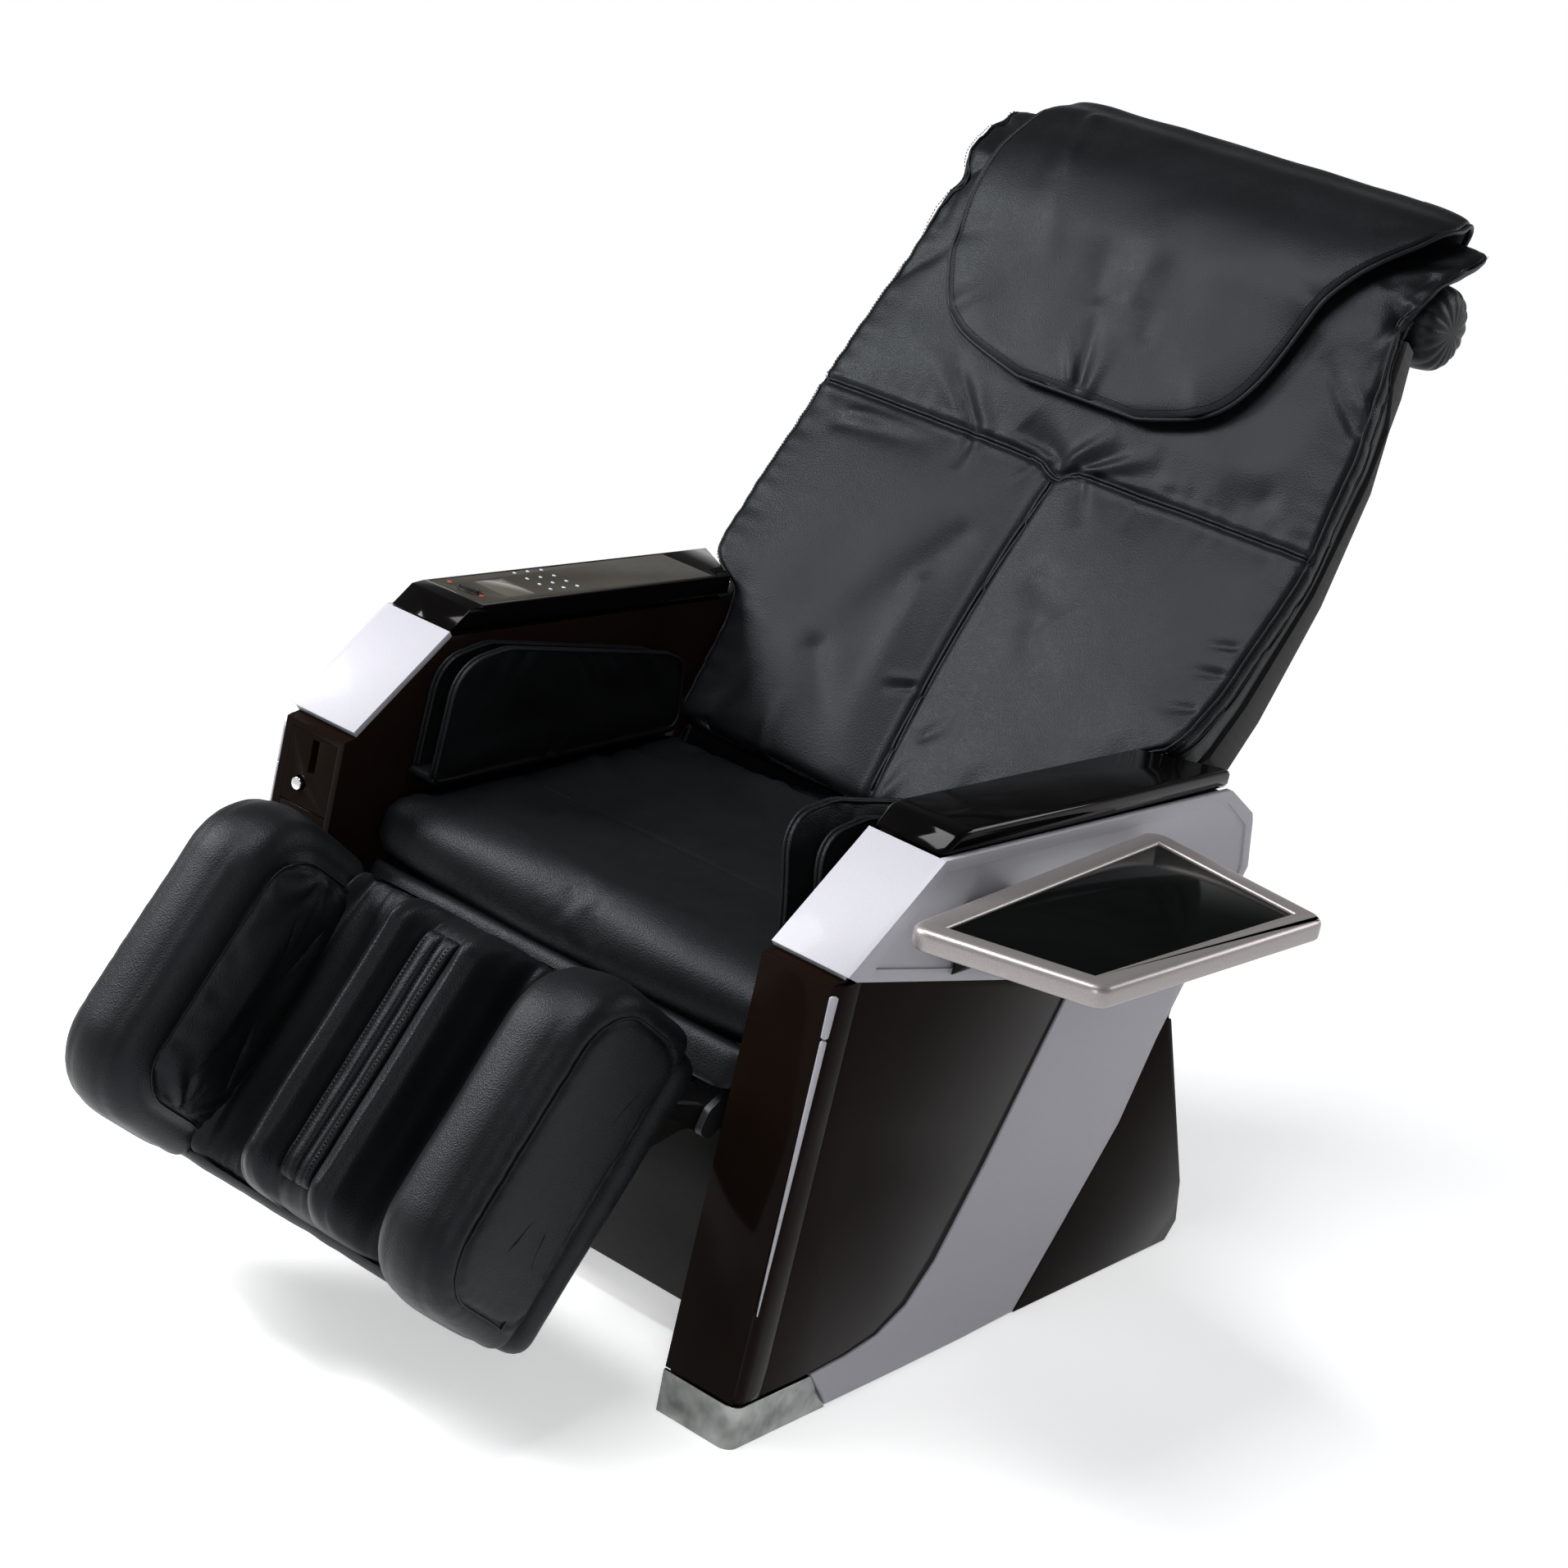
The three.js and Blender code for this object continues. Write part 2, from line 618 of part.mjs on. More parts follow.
const crossMiddle = () =>
  join(
    box(-RAIL.x0 + GAP, RAIL.x0 - GAP, -20, 20, 0, RAIL.height),
    actuatorBracket(BACK_ACTUATOR_X, BACK_ACTUATOR_BASE),
    actuatorBracket(LEG_ACTUATOR_X, LEG_ACTUATOR_BASE),
  );

const crossRear = () => box(-RAIL.x0 + GAP, RAIL.x0 - GAP, 300, 340, 0, RAIL.height);

function seatPan() {
  const top = SEAT_PAN_Z + SEAT_PAN_THICK;
  const deck = box(-INNER_WALL_X + GAP, INNER_WALL_X - GAP, -298, 140, SEAT_PAN_Z, top);
  const flange = (side) => {
    const edge = side * (INNER_WALL_X - GAP);
    return box(Math.min(edge, edge - side * 5), Math.max(edge, edge - side * 5), -280, 140, 262, top - 1);
  };
  const lug = (side) => {
    const lugSide = [
      [-270, top - 1],
      [-298, top - 1],
      [LEG_PIVOT.y - 6, LEG_PIVOT.z + 17, 12],
      [LEG_PIVOT.y - 16, LEG_PIVOT.z - 6, 8],
      [LEG_PIVOT.y + 2, LEG_PIVOT.z - 18, 10],
    ];
    const x0 = side > 0 ? 238 : -246;
    const pinStart = side > 0 ? 220 : -239;
    const pin = barX(LEG_PIN_R, pinStart, pinStart + 19, LEG_PIVOT.y, LEG_PIVOT.z);
    return join(sidePlate(lugSide, x0, x0 + 8), pin);
  };
  return join(deck, flange(1), flange(-1), lug(1), lug(-1));
}

function frontCover() {
  const wall = 4;
  const half = INNER_WALL_X - GAP;
  const cover = sidePlate(
    [
      [-210, 1],
      [-210 + wall, 1],
      [-287 + wall, 51],
      [-292 + wall, 255],
      [-292, 255],
      [-287, 49],
    ],
    -half,
    half,
  );
  const rodWay = box(LEG_ACTUATOR_X - 26, LEG_ACTUATOR_X + 26, -320, -260, 150, 244);
  return cut(cover, rodWay);
}

function rearCover() {
  const wall = 4;
  const half = INNER_WALL_X - GAP;
  const cover = sidePlate(
    [
      [391, 1],
      [395, 1],
      [411, 24],
      [398, 79],
      [292.6, 300],
      [292.6 - wall, 300],
      [398 - wall, 78],
      [411 - wall - 0.5, 24],
    ],
    -half,
    half,
  );
  return cut(cover, box(-182, -138, 350, 430, 70, 104));
}

const powerBox = () =>
  cut(
    join(box(-226, -96, 262, 366, RAIL.height + GAP, 124), box(-180, -140, 360, 404, 72, 102)),
    box(-174, -146, 390, 420, 78, 96),
  );

const airPump = () =>
  join(
    box(90, 216, 262, 362, RAIL.height + GAP, 110),
    barX(30, 100, 206, 312, 112, 20),
  );

// ---------------------------------------------------------------- seat
const seatCushion = () =>
  crossCushion(
    [
      [-296, SEAT_PAN_Z + SEAT_PAN_THICK + SEAT_CROWN + 1, 24],
      [147, SEAT_PAN_Z + SEAT_PAN_THICK + SEAT_CROWN + 1, 24],
      [151, 443.5, 26],
      [-60, 441.5],
      [-228, 439.5],
      [-327, 439.5, 34],
      [-333, 385, 26],
      [-307, 363],
    ],
    -SEAT_HALF_WIDTH,
    SEAT_HALF_WIDTH,
    { edge: 22, crown: SEAT_CROWN, spans: 6 },
  );

function seatSkirt() {
  const half = 276;
  const thick = 5;
  const path = [[-313, 355], [-326, 350], [-340, 340], [-350, 328]].map(([y, z]) => new THREE.Vector2(y, z));
  const inwards = new THREE.Vector2(0.55, -0.83).multiplyScalar(thick);
  const endRun = 30; // the ends are rounded off over this length
  const fromEnds = [0, 10, endRun];
  const stations = [
    ...fromEnds.map((d) => -half + d),
    -120,
    0,
    120,
    ...fromEnds.map((d) => half - d).reverse(),
  ];
  const rings = stations.map((x) => {
    const reach = 0.35 + 0.65 * roundedEnd(half - Math.abs(x), endRun);
    const face = path.map((p) => path[0].clone().lerp(p, reach));
    const inner = face.map((p) => p.clone().add(inwards)).reverse();
    return [...face, ...inner].map((p) => new THREE.Vector3(x, p.x, p.y));
  });
  return loft(rings);
}

// ---------------------------------------------------------------- back
// Its own frame is x, s along the back and n off it. Each list gives a measure at heights s.
const HALF_WIDTH = [[462, 281], [636, 284], [648, 289.5], [653, 300], [657, 320], [662, 334], [674, 342],
  [745, 350], [890, 354], [1030, 344], [1120, 330], [1190, 322], [1250, 342], [1317, 360], [1345, 352]];
const EDGE_FRONT = [[462, 138], [600, 150], [660, 165], [745, 151], [890, 137], [1030, 142],
  [1120, 152], [1190, 164], [1250, 158], [1290, 138], [1317, 116], [1345, 98]];
const CENTRE_FRONT = [[462, 127], [640, 128], [890, 133], [1030, 138], [1120, 146], [1190, 158],
  [1250, 154], [1317, 124], [1345, 100]];
const CUSHION_BACK = [[462, CUSHION_REAR], [1110, CUSHION_REAR], [1150, 139], [1235, 142],
  [1262, 138], [1290, 117], [1317, 98], [1345, 84]];
const SHELL_BACK = [[600, 31], [660, 31], [890, 54], [1030, 66], [1100, 79], [1140, 85], [1190, 104]];
const SHELL_TOP = 1190;
const CROSS_SEAM_S = 894;
const SEAM_DEPTH = 7;
const dip = (distance, reach) => Math.exp(-((distance / reach) ** 2));

function backFront(x, s) {
  const half = along(HALF_WIDTH, s);
  const centre = along(CENTRE_FRONT, s);
  const edge = along(EDGE_FRONT, s);
  const t = Math.min(1, Math.abs(x) / half);
  const panel = s < CROSS_SEAM_S ? Math.sin(Math.PI * Math.min(1, (CROSS_SEAM_S - s) / 420)) : 0.6;
  const swell = 8 * Math.sin(Math.PI * Math.min(1, t * 1.05)) * panel;
  const centreSeam = s < CROSS_SEAM_S ? SEAM_DEPTH * dip(x, 14) : 0;
  return centre + (edge - centre) * t ** 2.4 + swell - centreSeam - SEAM_DEPTH * dip(s - CROSS_SEAM_S, 12);
}

function backCushion() {
  const foot = 462;
  const head = 1345;
  const shoulder = [647, 653, 657, 662, 674]; // close steps where the sides swing out over the arms
  const seam = [-20, -8, 0, 8, 20].map((d) => CROSS_SEAM_S + d);
  const stations = [foot, 466, 478, 510, 570, 625, ...shoulder, 705, 760, 830, ...seam, 960, 1030,
    1100, 1140, 1190, 1240, 1290, 1325, 1341, head];
  const across = [0, 0.04, 0.1, 0.25, 0.45, 0.65, 0.82, 0.93, 0.985];
  const endRun = 16;
  const rings = stations.map((s) => {
    const half = along(HALF_WIDTH, s);
    const rear = along(CUSHION_BACK, s);
    const drawnIn = 12 * (1 - roundedEnd(Math.min(s - foot, head - s), endRun));
    const rearIn = rear + drawnIn * 0.3;
    const front = (t) => backFront(t * half, s) - drawnIn;
    const leftSide = [
      ...across.map((t) => [t * half, front(t)]),
      [half, front(1) - 9],
      [half, (front(1) + rear) / 2],
      [half - 3, rearIn],
    ];
    const rightSide = leftSide
      .slice(1)
      .map(([x, n]) => [-x, n])
      .reverse();
    return [...leftSide, [0, rearIn], ...rightSide].map(([x, n]) => new THREE.Vector3(x, s, n));
  });
  return loft(rings);
}

function backShell() {
  const stations = [600, 647, 653, 657, 662, 674, 745, 890, 1030, 1100, 1140, SHELL_TOP];
  const rings = stations.map((s) => {
    const half = along(HALF_WIDTH, s) - 2;
    const rear = along(SHELL_BACK, s);
    const front = along(CUSHION_BACK, s) - 1.4;
    const plan = [
      [half, front],
      [-half, front],
      [-half, rear + 12],
      [-half + 14, rear],
      [-CHANNEL_HALF - 14, rear - 4],
      [CHANNEL_HALF + 14, rear - 4],
      [half - 14, rear],
      [half, rear + 12],
    ];
    return plan.map(([x, n]) => new THREE.Vector3(x, s, n));
  });
  // The middle stands out behind to clear the roller carriage.
  const wide = CHANNEL_HALF + 5;
  const housing = sidePlate(
    [
      [524, 16],
      [560, 7],
      [SHELL_TOP - 50, 7],
      [SHELL_TOP, 36],
      [SHELL_TOP, CUSHION_REAR - 1],
      [524, CUSHION_REAR - 1],
    ],
    -wide,
    wide,
  );
  const channel = box(-CHANNEL_HALF - GAP, CHANNEL_HALF + GAP, 400, 1260, CHANNEL_FLOOR - GAP, 200);
  return cut(join(loft(rings), housing), channel);
}

function backFrame() {
  const wall = 6;
  const lower = 478;
  const upper = ROLL_S - ROLL_R - GAP;
  const half = CHANNEL_HALF;
  const web = box(-half, half, lower, upper, CHANNEL_FLOOR, CHANNEL_FLOOR + 4);
  const flange = (x0) => box(x0, x0 + wall, lower, upper, CHANNEL_FLOOR, CHANNEL_RIM);
  const lugAt = backLocal(BACK_LUG);
  const lug = sidePlate(
    [
      [lugAt.s - LUG_R, lugAt.n - 6, 8],
      [lugAt.s + 4, lugAt.n - LUG_R, 8],
      [520, CHANNEL_FLOOR + 1],
      [482, CHANNEL_FLOOR + 1],
    ],
    BACK_ACTUATOR_X - 5,
    BACK_ACTUATOR_X + 5,
  );
  const pivot = backLocal(BACK_PIVOT);
  const hole = barX(PIVOT_R + PIVOT_PLAY, -300, 300, pivot.s, pivot.n, 20);
  return cut(join(web, flange(-half), flange(half - wall), lug), hole);
}

const radians = THREE.MathUtils.degToRad;
const backLocal = ({ y, z }) => ({
  s: y * Math.cos(radians(BACK_ANGLE)) + z * Math.sin(radians(BACK_ANGLE)),
  n: -y * Math.sin(radians(BACK_ANGLE)) + z * Math.cos(radians(BACK_ANGLE)),
});
const legLocal = ({ y, z }) => ({
  v: y * Math.cos(radians(LEG_ANGLE)) + z * Math.sin(radians(LEG_ANGLE)),
  w: -y * Math.sin(radians(LEG_ANGLE)) + z * Math.cos(radians(LEG_ANGLE)),
});

// The head flap: a thin padded sheet that lies on the cushion, goes over the top and hangs behind.
// Its half width is given at lengths along it.
const FLAP_HALF = [[0, 96], [8, 128], [24, 168], [60, 218], [110, 262], [190, 288], [290, 294],
  [352, 308], [500, 300]];
const FLAP_THICK = 15;
const FLAP_LIFT = 2.5;

function flapPath() {
  const lying = [994, 1000, 1012, 1040, 1085, 1140, 1190, 1240, 1285, 1320].map((s) => [
    s,
    Math.max(backFront(0, s), backFront(200, s), backFront(280, s)) + FLAP_LIFT + FLAP_THICK / 2,
  ]);
  const over = [[1345, 122], [1360, 106], [1364, 92], [1356, 78]];
  const down = new THREE.Vector2(-Math.sin(radians(BACK_ANGLE)), -Math.cos(radians(BACK_ANGLE)));
  const hang = [40, 80, 110, 118].map((d) => [1352 + down.x * d, 70 + down.y * d]);
  return [...lying, ...over, ...hang].map(([s, n]) => new THREE.Vector2(s, n));
}

function headFlap() {
  const path = flapPath();
  let travelled = 0;
  const last = path.length - 1;
  const rings = path.map((here, i) => {
    if (i) travelled += here.distanceTo(path[i - 1]);
    const run = path[Math.min(last, i + 1)].clone().sub(path[Math.max(0, i - 1)]).normalize();
    const out = new THREE.Vector2(-run.y, run.x);
    const half = along(FLAP_HALF, travelled);
    const thick = i === 0 || i === last ? 3 : i === 1 || i === last - 1 ? 10 : FLAP_THICK;
    const point = (x, lift) => new THREE.Vector3(x, here.x + out.x * lift, here.y + out.y * lift);
    const above = [-1, -0.96, -0.7, -0.35, 0, 0.35, 0.7, 0.96, 1].map((t) =>
      point(t * half, thick * (0.5 - 0.42 * Math.abs(t) ** 12)),
    );
    const below = [0.96, 0.5, 0, -0.5, -0.96].map((t) => point(t * half, -thick * 0.5));
    return [...above, ...below];
  });
  return loft(rings);
}

function topBolster() {
  const half = 318;
  const end = [[0, 0], [20, 0], [34, 4], [ROLL_R - 2, 14], [ROLL_R, 30]]; // radius, distance from the end
  const profile = [
    ...end.map(([radius, d]) => [radius, -half + d]),
    ...end.map(([radius, d]) => [radius, half - d]).reverse(),
  ];
  return turned(profile, 24).translate(0, ROLL_S, ROLL_N);
}

// Roller carriage: a bar across the channel with two lugs, each holding a rocking arm with two rollers.
const ARM_N = 62;
const ARM_REACH = 52;
const ROLLER_R = 23;
const ROLLER_WIDE = 22;
const ROLLER_PIN_R = 5;
const ARM_X = 66; // inner face of an arm
const ARM_THICK = 12;
const ARM_PIN_R = 6;

function rollerCarriage() {
  const bar = box(-CHANNEL_HALF + 8, CHANNEL_HALF - 8, CARRIAGE_S - 14, CARRIAGE_S + 14, 26, 42);
  const lug = (side) => {
    const x0 = side > 0 ? ARM_X - 10 : -ARM_X + 2;
    const body = sidePlate(
      [
        [CARRIAGE_S - 14, 40],
        [CARRIAGE_S + 14, 40],
        [CARRIAGE_S + 10, ARM_N + 9, 8],
        [CARRIAGE_S - 10, ARM_N + 9, 8],
      ],
      x0,
      x0 + 8,
    );
    const pinStart = side > 0 ? x0 + 7 : -ARM_X - 14;
    return join(body, barX(ARM_PIN_R, pinStart, pinStart + 17, CARRIAGE_S, ARM_N));
  };
  return join(bar, lug(1), lug(-1));
}

function rollerArm() {
  const strap = sidePlate(
    rectangle(CARRIAGE_S - ARM_REACH - 9, ARM_N - 9, CARRIAGE_S + ARM_REACH + 9, ARM_N + 9, 8),
    ARM_X,
    ARM_X + ARM_THICK,
  );
  const outside = ARM_X + ARM_THICK;
  const stub = (ds) => barX(ROLLER_PIN_R, outside - 1, outside + 26, CARRIAGE_S + ds, ARM_N);
  const eye = barX(ARM_PIN_R + PIVOT_PLAY, ARM_X - 5, ARM_X + 20, CARRIAGE_S, ARM_N);
  return join(cut(strap, eye), stub(-ARM_REACH), stub(ARM_REACH));
}

function roller(ds) {
  const half = ROLLER_WIDE / 2;
  const bore = ROLLER_PIN_R + PIVOT_PLAY;
  const bevel = 5;
  const profile = [
    [bore, -half],
    [ROLLER_R - bevel, -half],
    [ROLLER_R, -half + bevel],
    [ROLLER_R, half - bevel],
    [ROLLER_R - bevel, half],
    [bore, half],
    [bore, -half],
  ];
  return turned(profile, 20).translate(ARM_X + ARM_THICK + 1.5 + half, CARRIAGE_S + ds, ARM_N);
}

// ---------------------------------------------------------------- leg rest
// Its own frame is x, v up the leg rest and w off its face.
function legShell() {
  const plateFront = LEG_REAR + 7;
  const shell = box(-264, 264, LEG_BOTTOM + 16, 56, LEG_REAR, plateFront);
  const pivot = legLocal(LEG_PIVOT);
  const lug = legLocal(LEG_LUG);
  const armSide = [
    [pivot.v + 13, pivot.w - 12, 12],
    [pivot.v + 13, pivot.w + 14, 20],
    [0, LEG_REAR + 1],
    [-96, LEG_REAR + 1],
    [pivot.v - 15, pivot.w + 20, 30],
    [pivot.v - 14, pivot.w - 12, 12],
  ];
  const arm = (x0) => sidePlate(armSide, x0, x0 + 10);
  const fin = sidePlate(
    [
      [lug.v + LUG_R, lug.w - LUG_R, 10],
      [lug.v - LUG_R, lug.w - LUG_R, 10],
      [-120, LEG_REAR + 1],
      [-52, LEG_REAR + 1],
    ],
    LEG_ACTUATOR_X - 5,
    LEG_ACTUATOR_X + 5,
  );
  const hole = barX(LEG_PIN_R + PIVOT_PLAY, -300, 300, pivot.v, pivot.w);
  return cut(join(shell, arm(226), arm(-236), fin), hole);
}

const calfBolster = () =>
  crossCushion(
    [
      [LEG_BOTTOM, LEG_REAR + 7 + GAP + 4, 26],
      [LEG_TOP, LEG_REAR + 7 + GAP + 4, 26],
      [LEG_TOP, CALF_BOLSTER.front - 8, 84],
      [LEG_BOTTOM, CALF_BOLSTER.front - 8, 76],
    ],
    CALF_BOLSTER.inner,
    CALF_BOLSTER.outer,
    { edge: 24, crown: 4, spans: 3, arcSteps: 5 },
  );

// The calf lining: front depth w at distances |x| from the middle. A stitched band lies in the dip
// between two swells, and each calf lies in the channel beside them.
const LINING_PROFILE = [[0, 652], [23, 652], [27, 664], [38, 682], [50, 686], [62, 676], [74, 646],
  [84, 620], [96, 610], [130, 608], [155, 613], [169, 626]];
const LINING_FOOT = LEG_BOTTOM + 14;
const LINING_HEAD = 76;

function calfLining() {
  const half = CALF_BOLSTER.inner - GAP - 0.6;
  const rear = LEG_REAR + 7 + GAP;
  const across = LINING_PROFILE.map(([x]) => Math.min(x, half));
  const columns = [...across.slice(1).reverse().map((x) => -x), ...across];
  const stations = [LINING_FOOT, -257, -248, -234, -210, -150, -90, -30, 20, 44, 60, 70, LINING_HEAD];
  const rings = stations.map((v) => {
    const full = roundedEnd(Math.min(v - LINING_FOOT, LINING_HEAD - v), 40);
    const front = (x) => rear + 8 + (along(LINING_PROFILE, Math.abs(x)) - rear - 8) * (0.3 + 0.7 * full);
    const top = columns.map((x) => new THREE.Vector3(x, v, front(x)));
    const under = [half, 0, -half].map((x) => new THREE.Vector3(x, v, rear));
    return [...top, ...under];
  });
  return loft(rings);
}

// The stitched band: two raised strips with a seam between them.
function calfDivider() {
  const half = 22;
  const rise = 13;
  const foot = -234;
  const head = 48;
  const seat = LINING_PROFILE[0][1] + 0.6;
  const side = [[0.08, 0.7], [0.2, 0.95], [0.5, 1], [0.8, 0.95], [0.97, 0.7], [1, 0]]; // from the middle out
  const section = [...side.map(([t, h]) => [-t, h]).reverse(), [0, 0.6], ...side];
  const rings = [foot, -228, -218, -200, -150, -90, -30, 14, 32, 42, head].map((v) => {
    const full = 0.3 + 0.7 * roundedEnd(Math.min(v - foot, head - v), 30);
    return section.map(([t, h]) => new THREE.Vector3(t * half, v, seat + h * rise * full));
  });
  return loft(rings);
}

// ---------------------------------------------------------------- actuators
// Tube with its motor, from the base pivot towards the lug; built along +Y from the pivot.
function actuatorTube(length) {
  const bore = 10;
  const outer = 17;
  const profile = [[0, 24], [outer, 24], [outer, length], [bore, length], [bore, 50], [0, 50], [0, 24]];
  const tube = turned(profile, 20).rotateZ(Math.PI / 2);
  const eye = cut(
    join(box(-6, 6, 0, 26, -12, 12), barX(12, -6, 6, 0, 0)),
    barX(7 + PIVOT_PLAY, -20, 20, 0, 0),
  );
  const motor = new THREE.CylinderGeometry(19, 19, 84, 20).rotateX(Math.PI / 2).translate(0, 48, -44);
  return cut(join(tube, eye, motor), barY(bore, 50, length + 10, 0, 0, 20));
}

// Rod with a fork that straddles the lug; built along +Y, the lug's centre at `reach`.
function actuatorRod(from, reach) {
  const bar = barY(9, from, reach - 32, 0, 0, 16);
  const bridge = box(-12, 12, reach - 34, reach - 27, -10, 10);
  const prong = (x0) => box(x0, x0 + 5, reach - 30, reach + 10, -10, 10);
  return join(bar, bridge, prong(-12), prong(7));
}

function aim(group, x, base, lug) {
  group.position.set(x, base.y, base.z);
  group.rotation.x = Math.atan2(lug.z - base.z, lug.y - base.y);
  return Math.hypot(lug.z - base.z, lug.y - base.y);
}

// ---------------------------------------------------------------- tray
function trayFrame() {
  const rounded = TRAY_CORNERS.map(([x, y]) => [x, y, TRAY.corner]);
  const body = topPlate(rounded, TRAY.top - TRAY.thick, TRAY.top);
  const well = topPlate(inset(TRAY_CORNERS, TRAY.rim), TRAY.top - 8, TRAY.top + 5);
  const cheek = (y0) =>
    cut(
      frontPlate(
        [
          [TRAY_PIVOT.x - 12, TRAY_PIVOT.z - 6, 6],
          [TRAY_PIVOT.x + 12, TRAY_PIVOT.z - 6, 6],
          [TRAY_PIVOT.x + 26, TRAY.top - TRAY.thick + 1],
          [TRAY_PIVOT.x - 12, TRAY.top - TRAY.thick + 1],
        ],
        y0,
        y0 + 8,
      ),
      barY(4 + PIVOT_PLAY, y0 - 5, y0 + 15, TRAY_PIVOT.x, TRAY_PIVOT.z),
    );
  return join(cut(body, well), cheek(-201), cheek(-108));
}

const trayInset = () => topPlate(inset(TRAY_CORNERS, TRAY.rim + GAP), TRAY.top - 7.6, TRAY.top - 2);

function trayBracket() {
  const x0 = OUTER_WALL_X + 3 + GAP;
  const block = frontPlate(
    [
      [x0, 476],
      [TRAY_PIVOT.x - 6, 500],
      [TRAY_PIVOT.x + 6, TRAY_PIVOT.z - 4],
      [TRAY_PIVOT.x + 6, TRAY_PIVOT.z + 6],
      [x0, TRAY_PIVOT.z + 6],
    ],
    -192,
    -109,
  );
  return join(block, barY(4, -204, -98, TRAY_PIVOT.x, TRAY_PIVOT.z));
}

// ---------------------------------------------------------------- assembly
const chair = new THREE.Group();

const root = new THREE.Group();
root.add(
  piece("base_cross_middle", FINISH.steel(), crossMiddle()),
  piece("base_cross_rear", FINISH.steel(), crossRear()),
  piece("seat_pan", FINISH.steel(), seatPan()),
  piece("seat_cushion", FINISH.leather(), seatCushion()),
  piece("seat_skirt", FINISH.leather(), seatSkirt()),
  piece("front_cover", FINISH.satin(), frontCover()),
  piece("rear_cover", FINISH.satin(), rearCover()),
  piece("power_box", FINISH.satin(), powerBox()),
  piece("air_pump", FINISH.satin(), airPump()),
);
chair.add(root);

// The sitter's left is built as drawn, and the right is its mirror image with the coin side in it.
for (const [side, scale] of [
  ["left", 1],
  ["right", -1],
]) {
  const coinSide = side === "right";
  const cabinet = new THREE.Group();
  cabinet.scale.x = scale;
  cabinet.add(
    piece(side + "_base_frame", FINISH.steel(), baseFrame()),
    piece(
      side + "_cabinet_shell",
      FINISH.gloss(),
      coinSide ? cut(cabinetShell(), apertureCut()) : cabinetShell(),
    ),
    piece(side + "_side_panel", FINISH.gloss(), sidePanel()),
    piece(side + "_rear_panel", FINISH.gloss(), rearPanel()),
    piece(side + "_side_strip", FINISH.silver(), sideStrip()),
    piece(side + "_arm_trim", FINISH.silver(), armTrim()),
    piece(side + "_kick_plate", FINISH.chrome(), kickPlate()),
    piece(side + "_armrest_top", FINISH.gloss(), armrestTop(coinSide)),
    piece(side + "_arm_cuff", FINISH.leather(), armCuff()),
  );
  if (coinSide)
    cabinet.add(
      piece("coin_panel", FINISH.satin(), coinPanel()),
      piece("coin_return_button", FINISH.chrome(), coinReturnButton()),
      piece("cash_door", FINISH.gloss(), cashDoor()),
      piece("cash_door_lock", FINISH.chrome(), cashDoorLock()),
      piece("coin_acceptor", FINISH.zinc(), coinAcceptor()),
      piece("coin_box", FINISH.zinc(), coinBox()),
      piece("control_panel", FINISH.satin(), controlPanel()),
      piece("display_window", FINISH.display(), displayWindow()),
      piece("power_key", FINISH.satin(), powerKey()),
    );
  else
    cabinet.add(
      piece("tray_bracket", FINISH.satin(), trayBracket()),
      piece("tray_frame", FINISH.tray(), trayFrame()),
      piece("tray_inset", FINISH.gloss(), trayInset()),
    );
  chair.add(cabinet);
}

const back = new THREE.Group();
back.rotation.x = radians(BACK_ANGLE);
back.add(
  piece("back_frame", FINISH.steel(), backFrame()),
  piece("back_shell", FINISH.fabric(), backShell()),
  piece("back_cushion", FINISH.leather(), backCushion()),
  piece("head_flap", FINISH.leather(), headFlap()),
  piece("top_bolster", FINISH.leather(), topBolster()),
  piece("roller_carriage", FINISH.steel(), rollerCarriage()),
);
for (const [side, scale] of [
  ["left", 1],
  ["right", -1],
]) {
  const arm = new THREE.Group();
  arm.scale.x = scale;
  arm.add(
    piece(side + "_roller_arm", FINISH.zinc(), rollerArm()),
    piece(side + "_lower_roller", FINISH.rubber(), roller(-ARM_REACH)),
    piece(side + "_upper_roller", FINISH.rubber(), roller(ARM_REACH)),
  );
  back.add(arm);
}
chair.add(back);

const legRest = new THREE.Group();
legRest.rotation.x = radians(LEG_ANGLE);
legRest.add(
  piece("leg_shell", FINISH.satin(), legShell()),
  piece("calf_lining", FINISH.leather(), calfLining()),
  piece("calf_divider", FINISH.leather(), calfDivider()),
  piece("left_calf_bolster", FINISH.leather(), calfBolster()),
);
const rightCalf = piece("right_calf_bolster", FINISH.leather(), calfBolster());
rightCalf.scale.x = -1;
legRest.add(rightCalf);
chair.add(legRest);

for (const [name, x, base, lug, tube, from] of [
  ["back_actuator", BACK_ACTUATOR_X, BACK_ACTUATOR_BASE, BACK_LUG, 220, 130],
  ["leg_actuator", LEG_ACTUATOR_X, LEG_ACTUATOR_BASE, LEG_LUG, 240, 150],
]) {
  const actuator = new THREE.Group();
  const reach = aim(actuator, x, base, lug);
  actuator.add(
    piece(name, FINISH.satin(), actuatorTube(tube)),
    piece(name + "_rod", FINISH.zinc(), actuatorRod(from, reach)),
  );
  chair.add(actuator);
}

export default chair;
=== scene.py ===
# %% [markdown]
# # A coin-operated massage chair
# The chair stands in a station or a shopping hall: a padded leather back and seat between two
# glossy cabinets, a leg rest with two calf channels, and a coin unit in one arm. The packed
# CAD model already holds every size and every hinge. So this lesson starts from that frame,
# and only dresses it: rounded edges, stitched leather, and finishes that react to light.

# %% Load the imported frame
import json
from math import atan2, cos, exp, hypot, pi, radians, sin, sqrt

import bmesh
import bpy
from mathutils import Matrix, Vector, noise
from mathutils.bvhtree import BVHTree


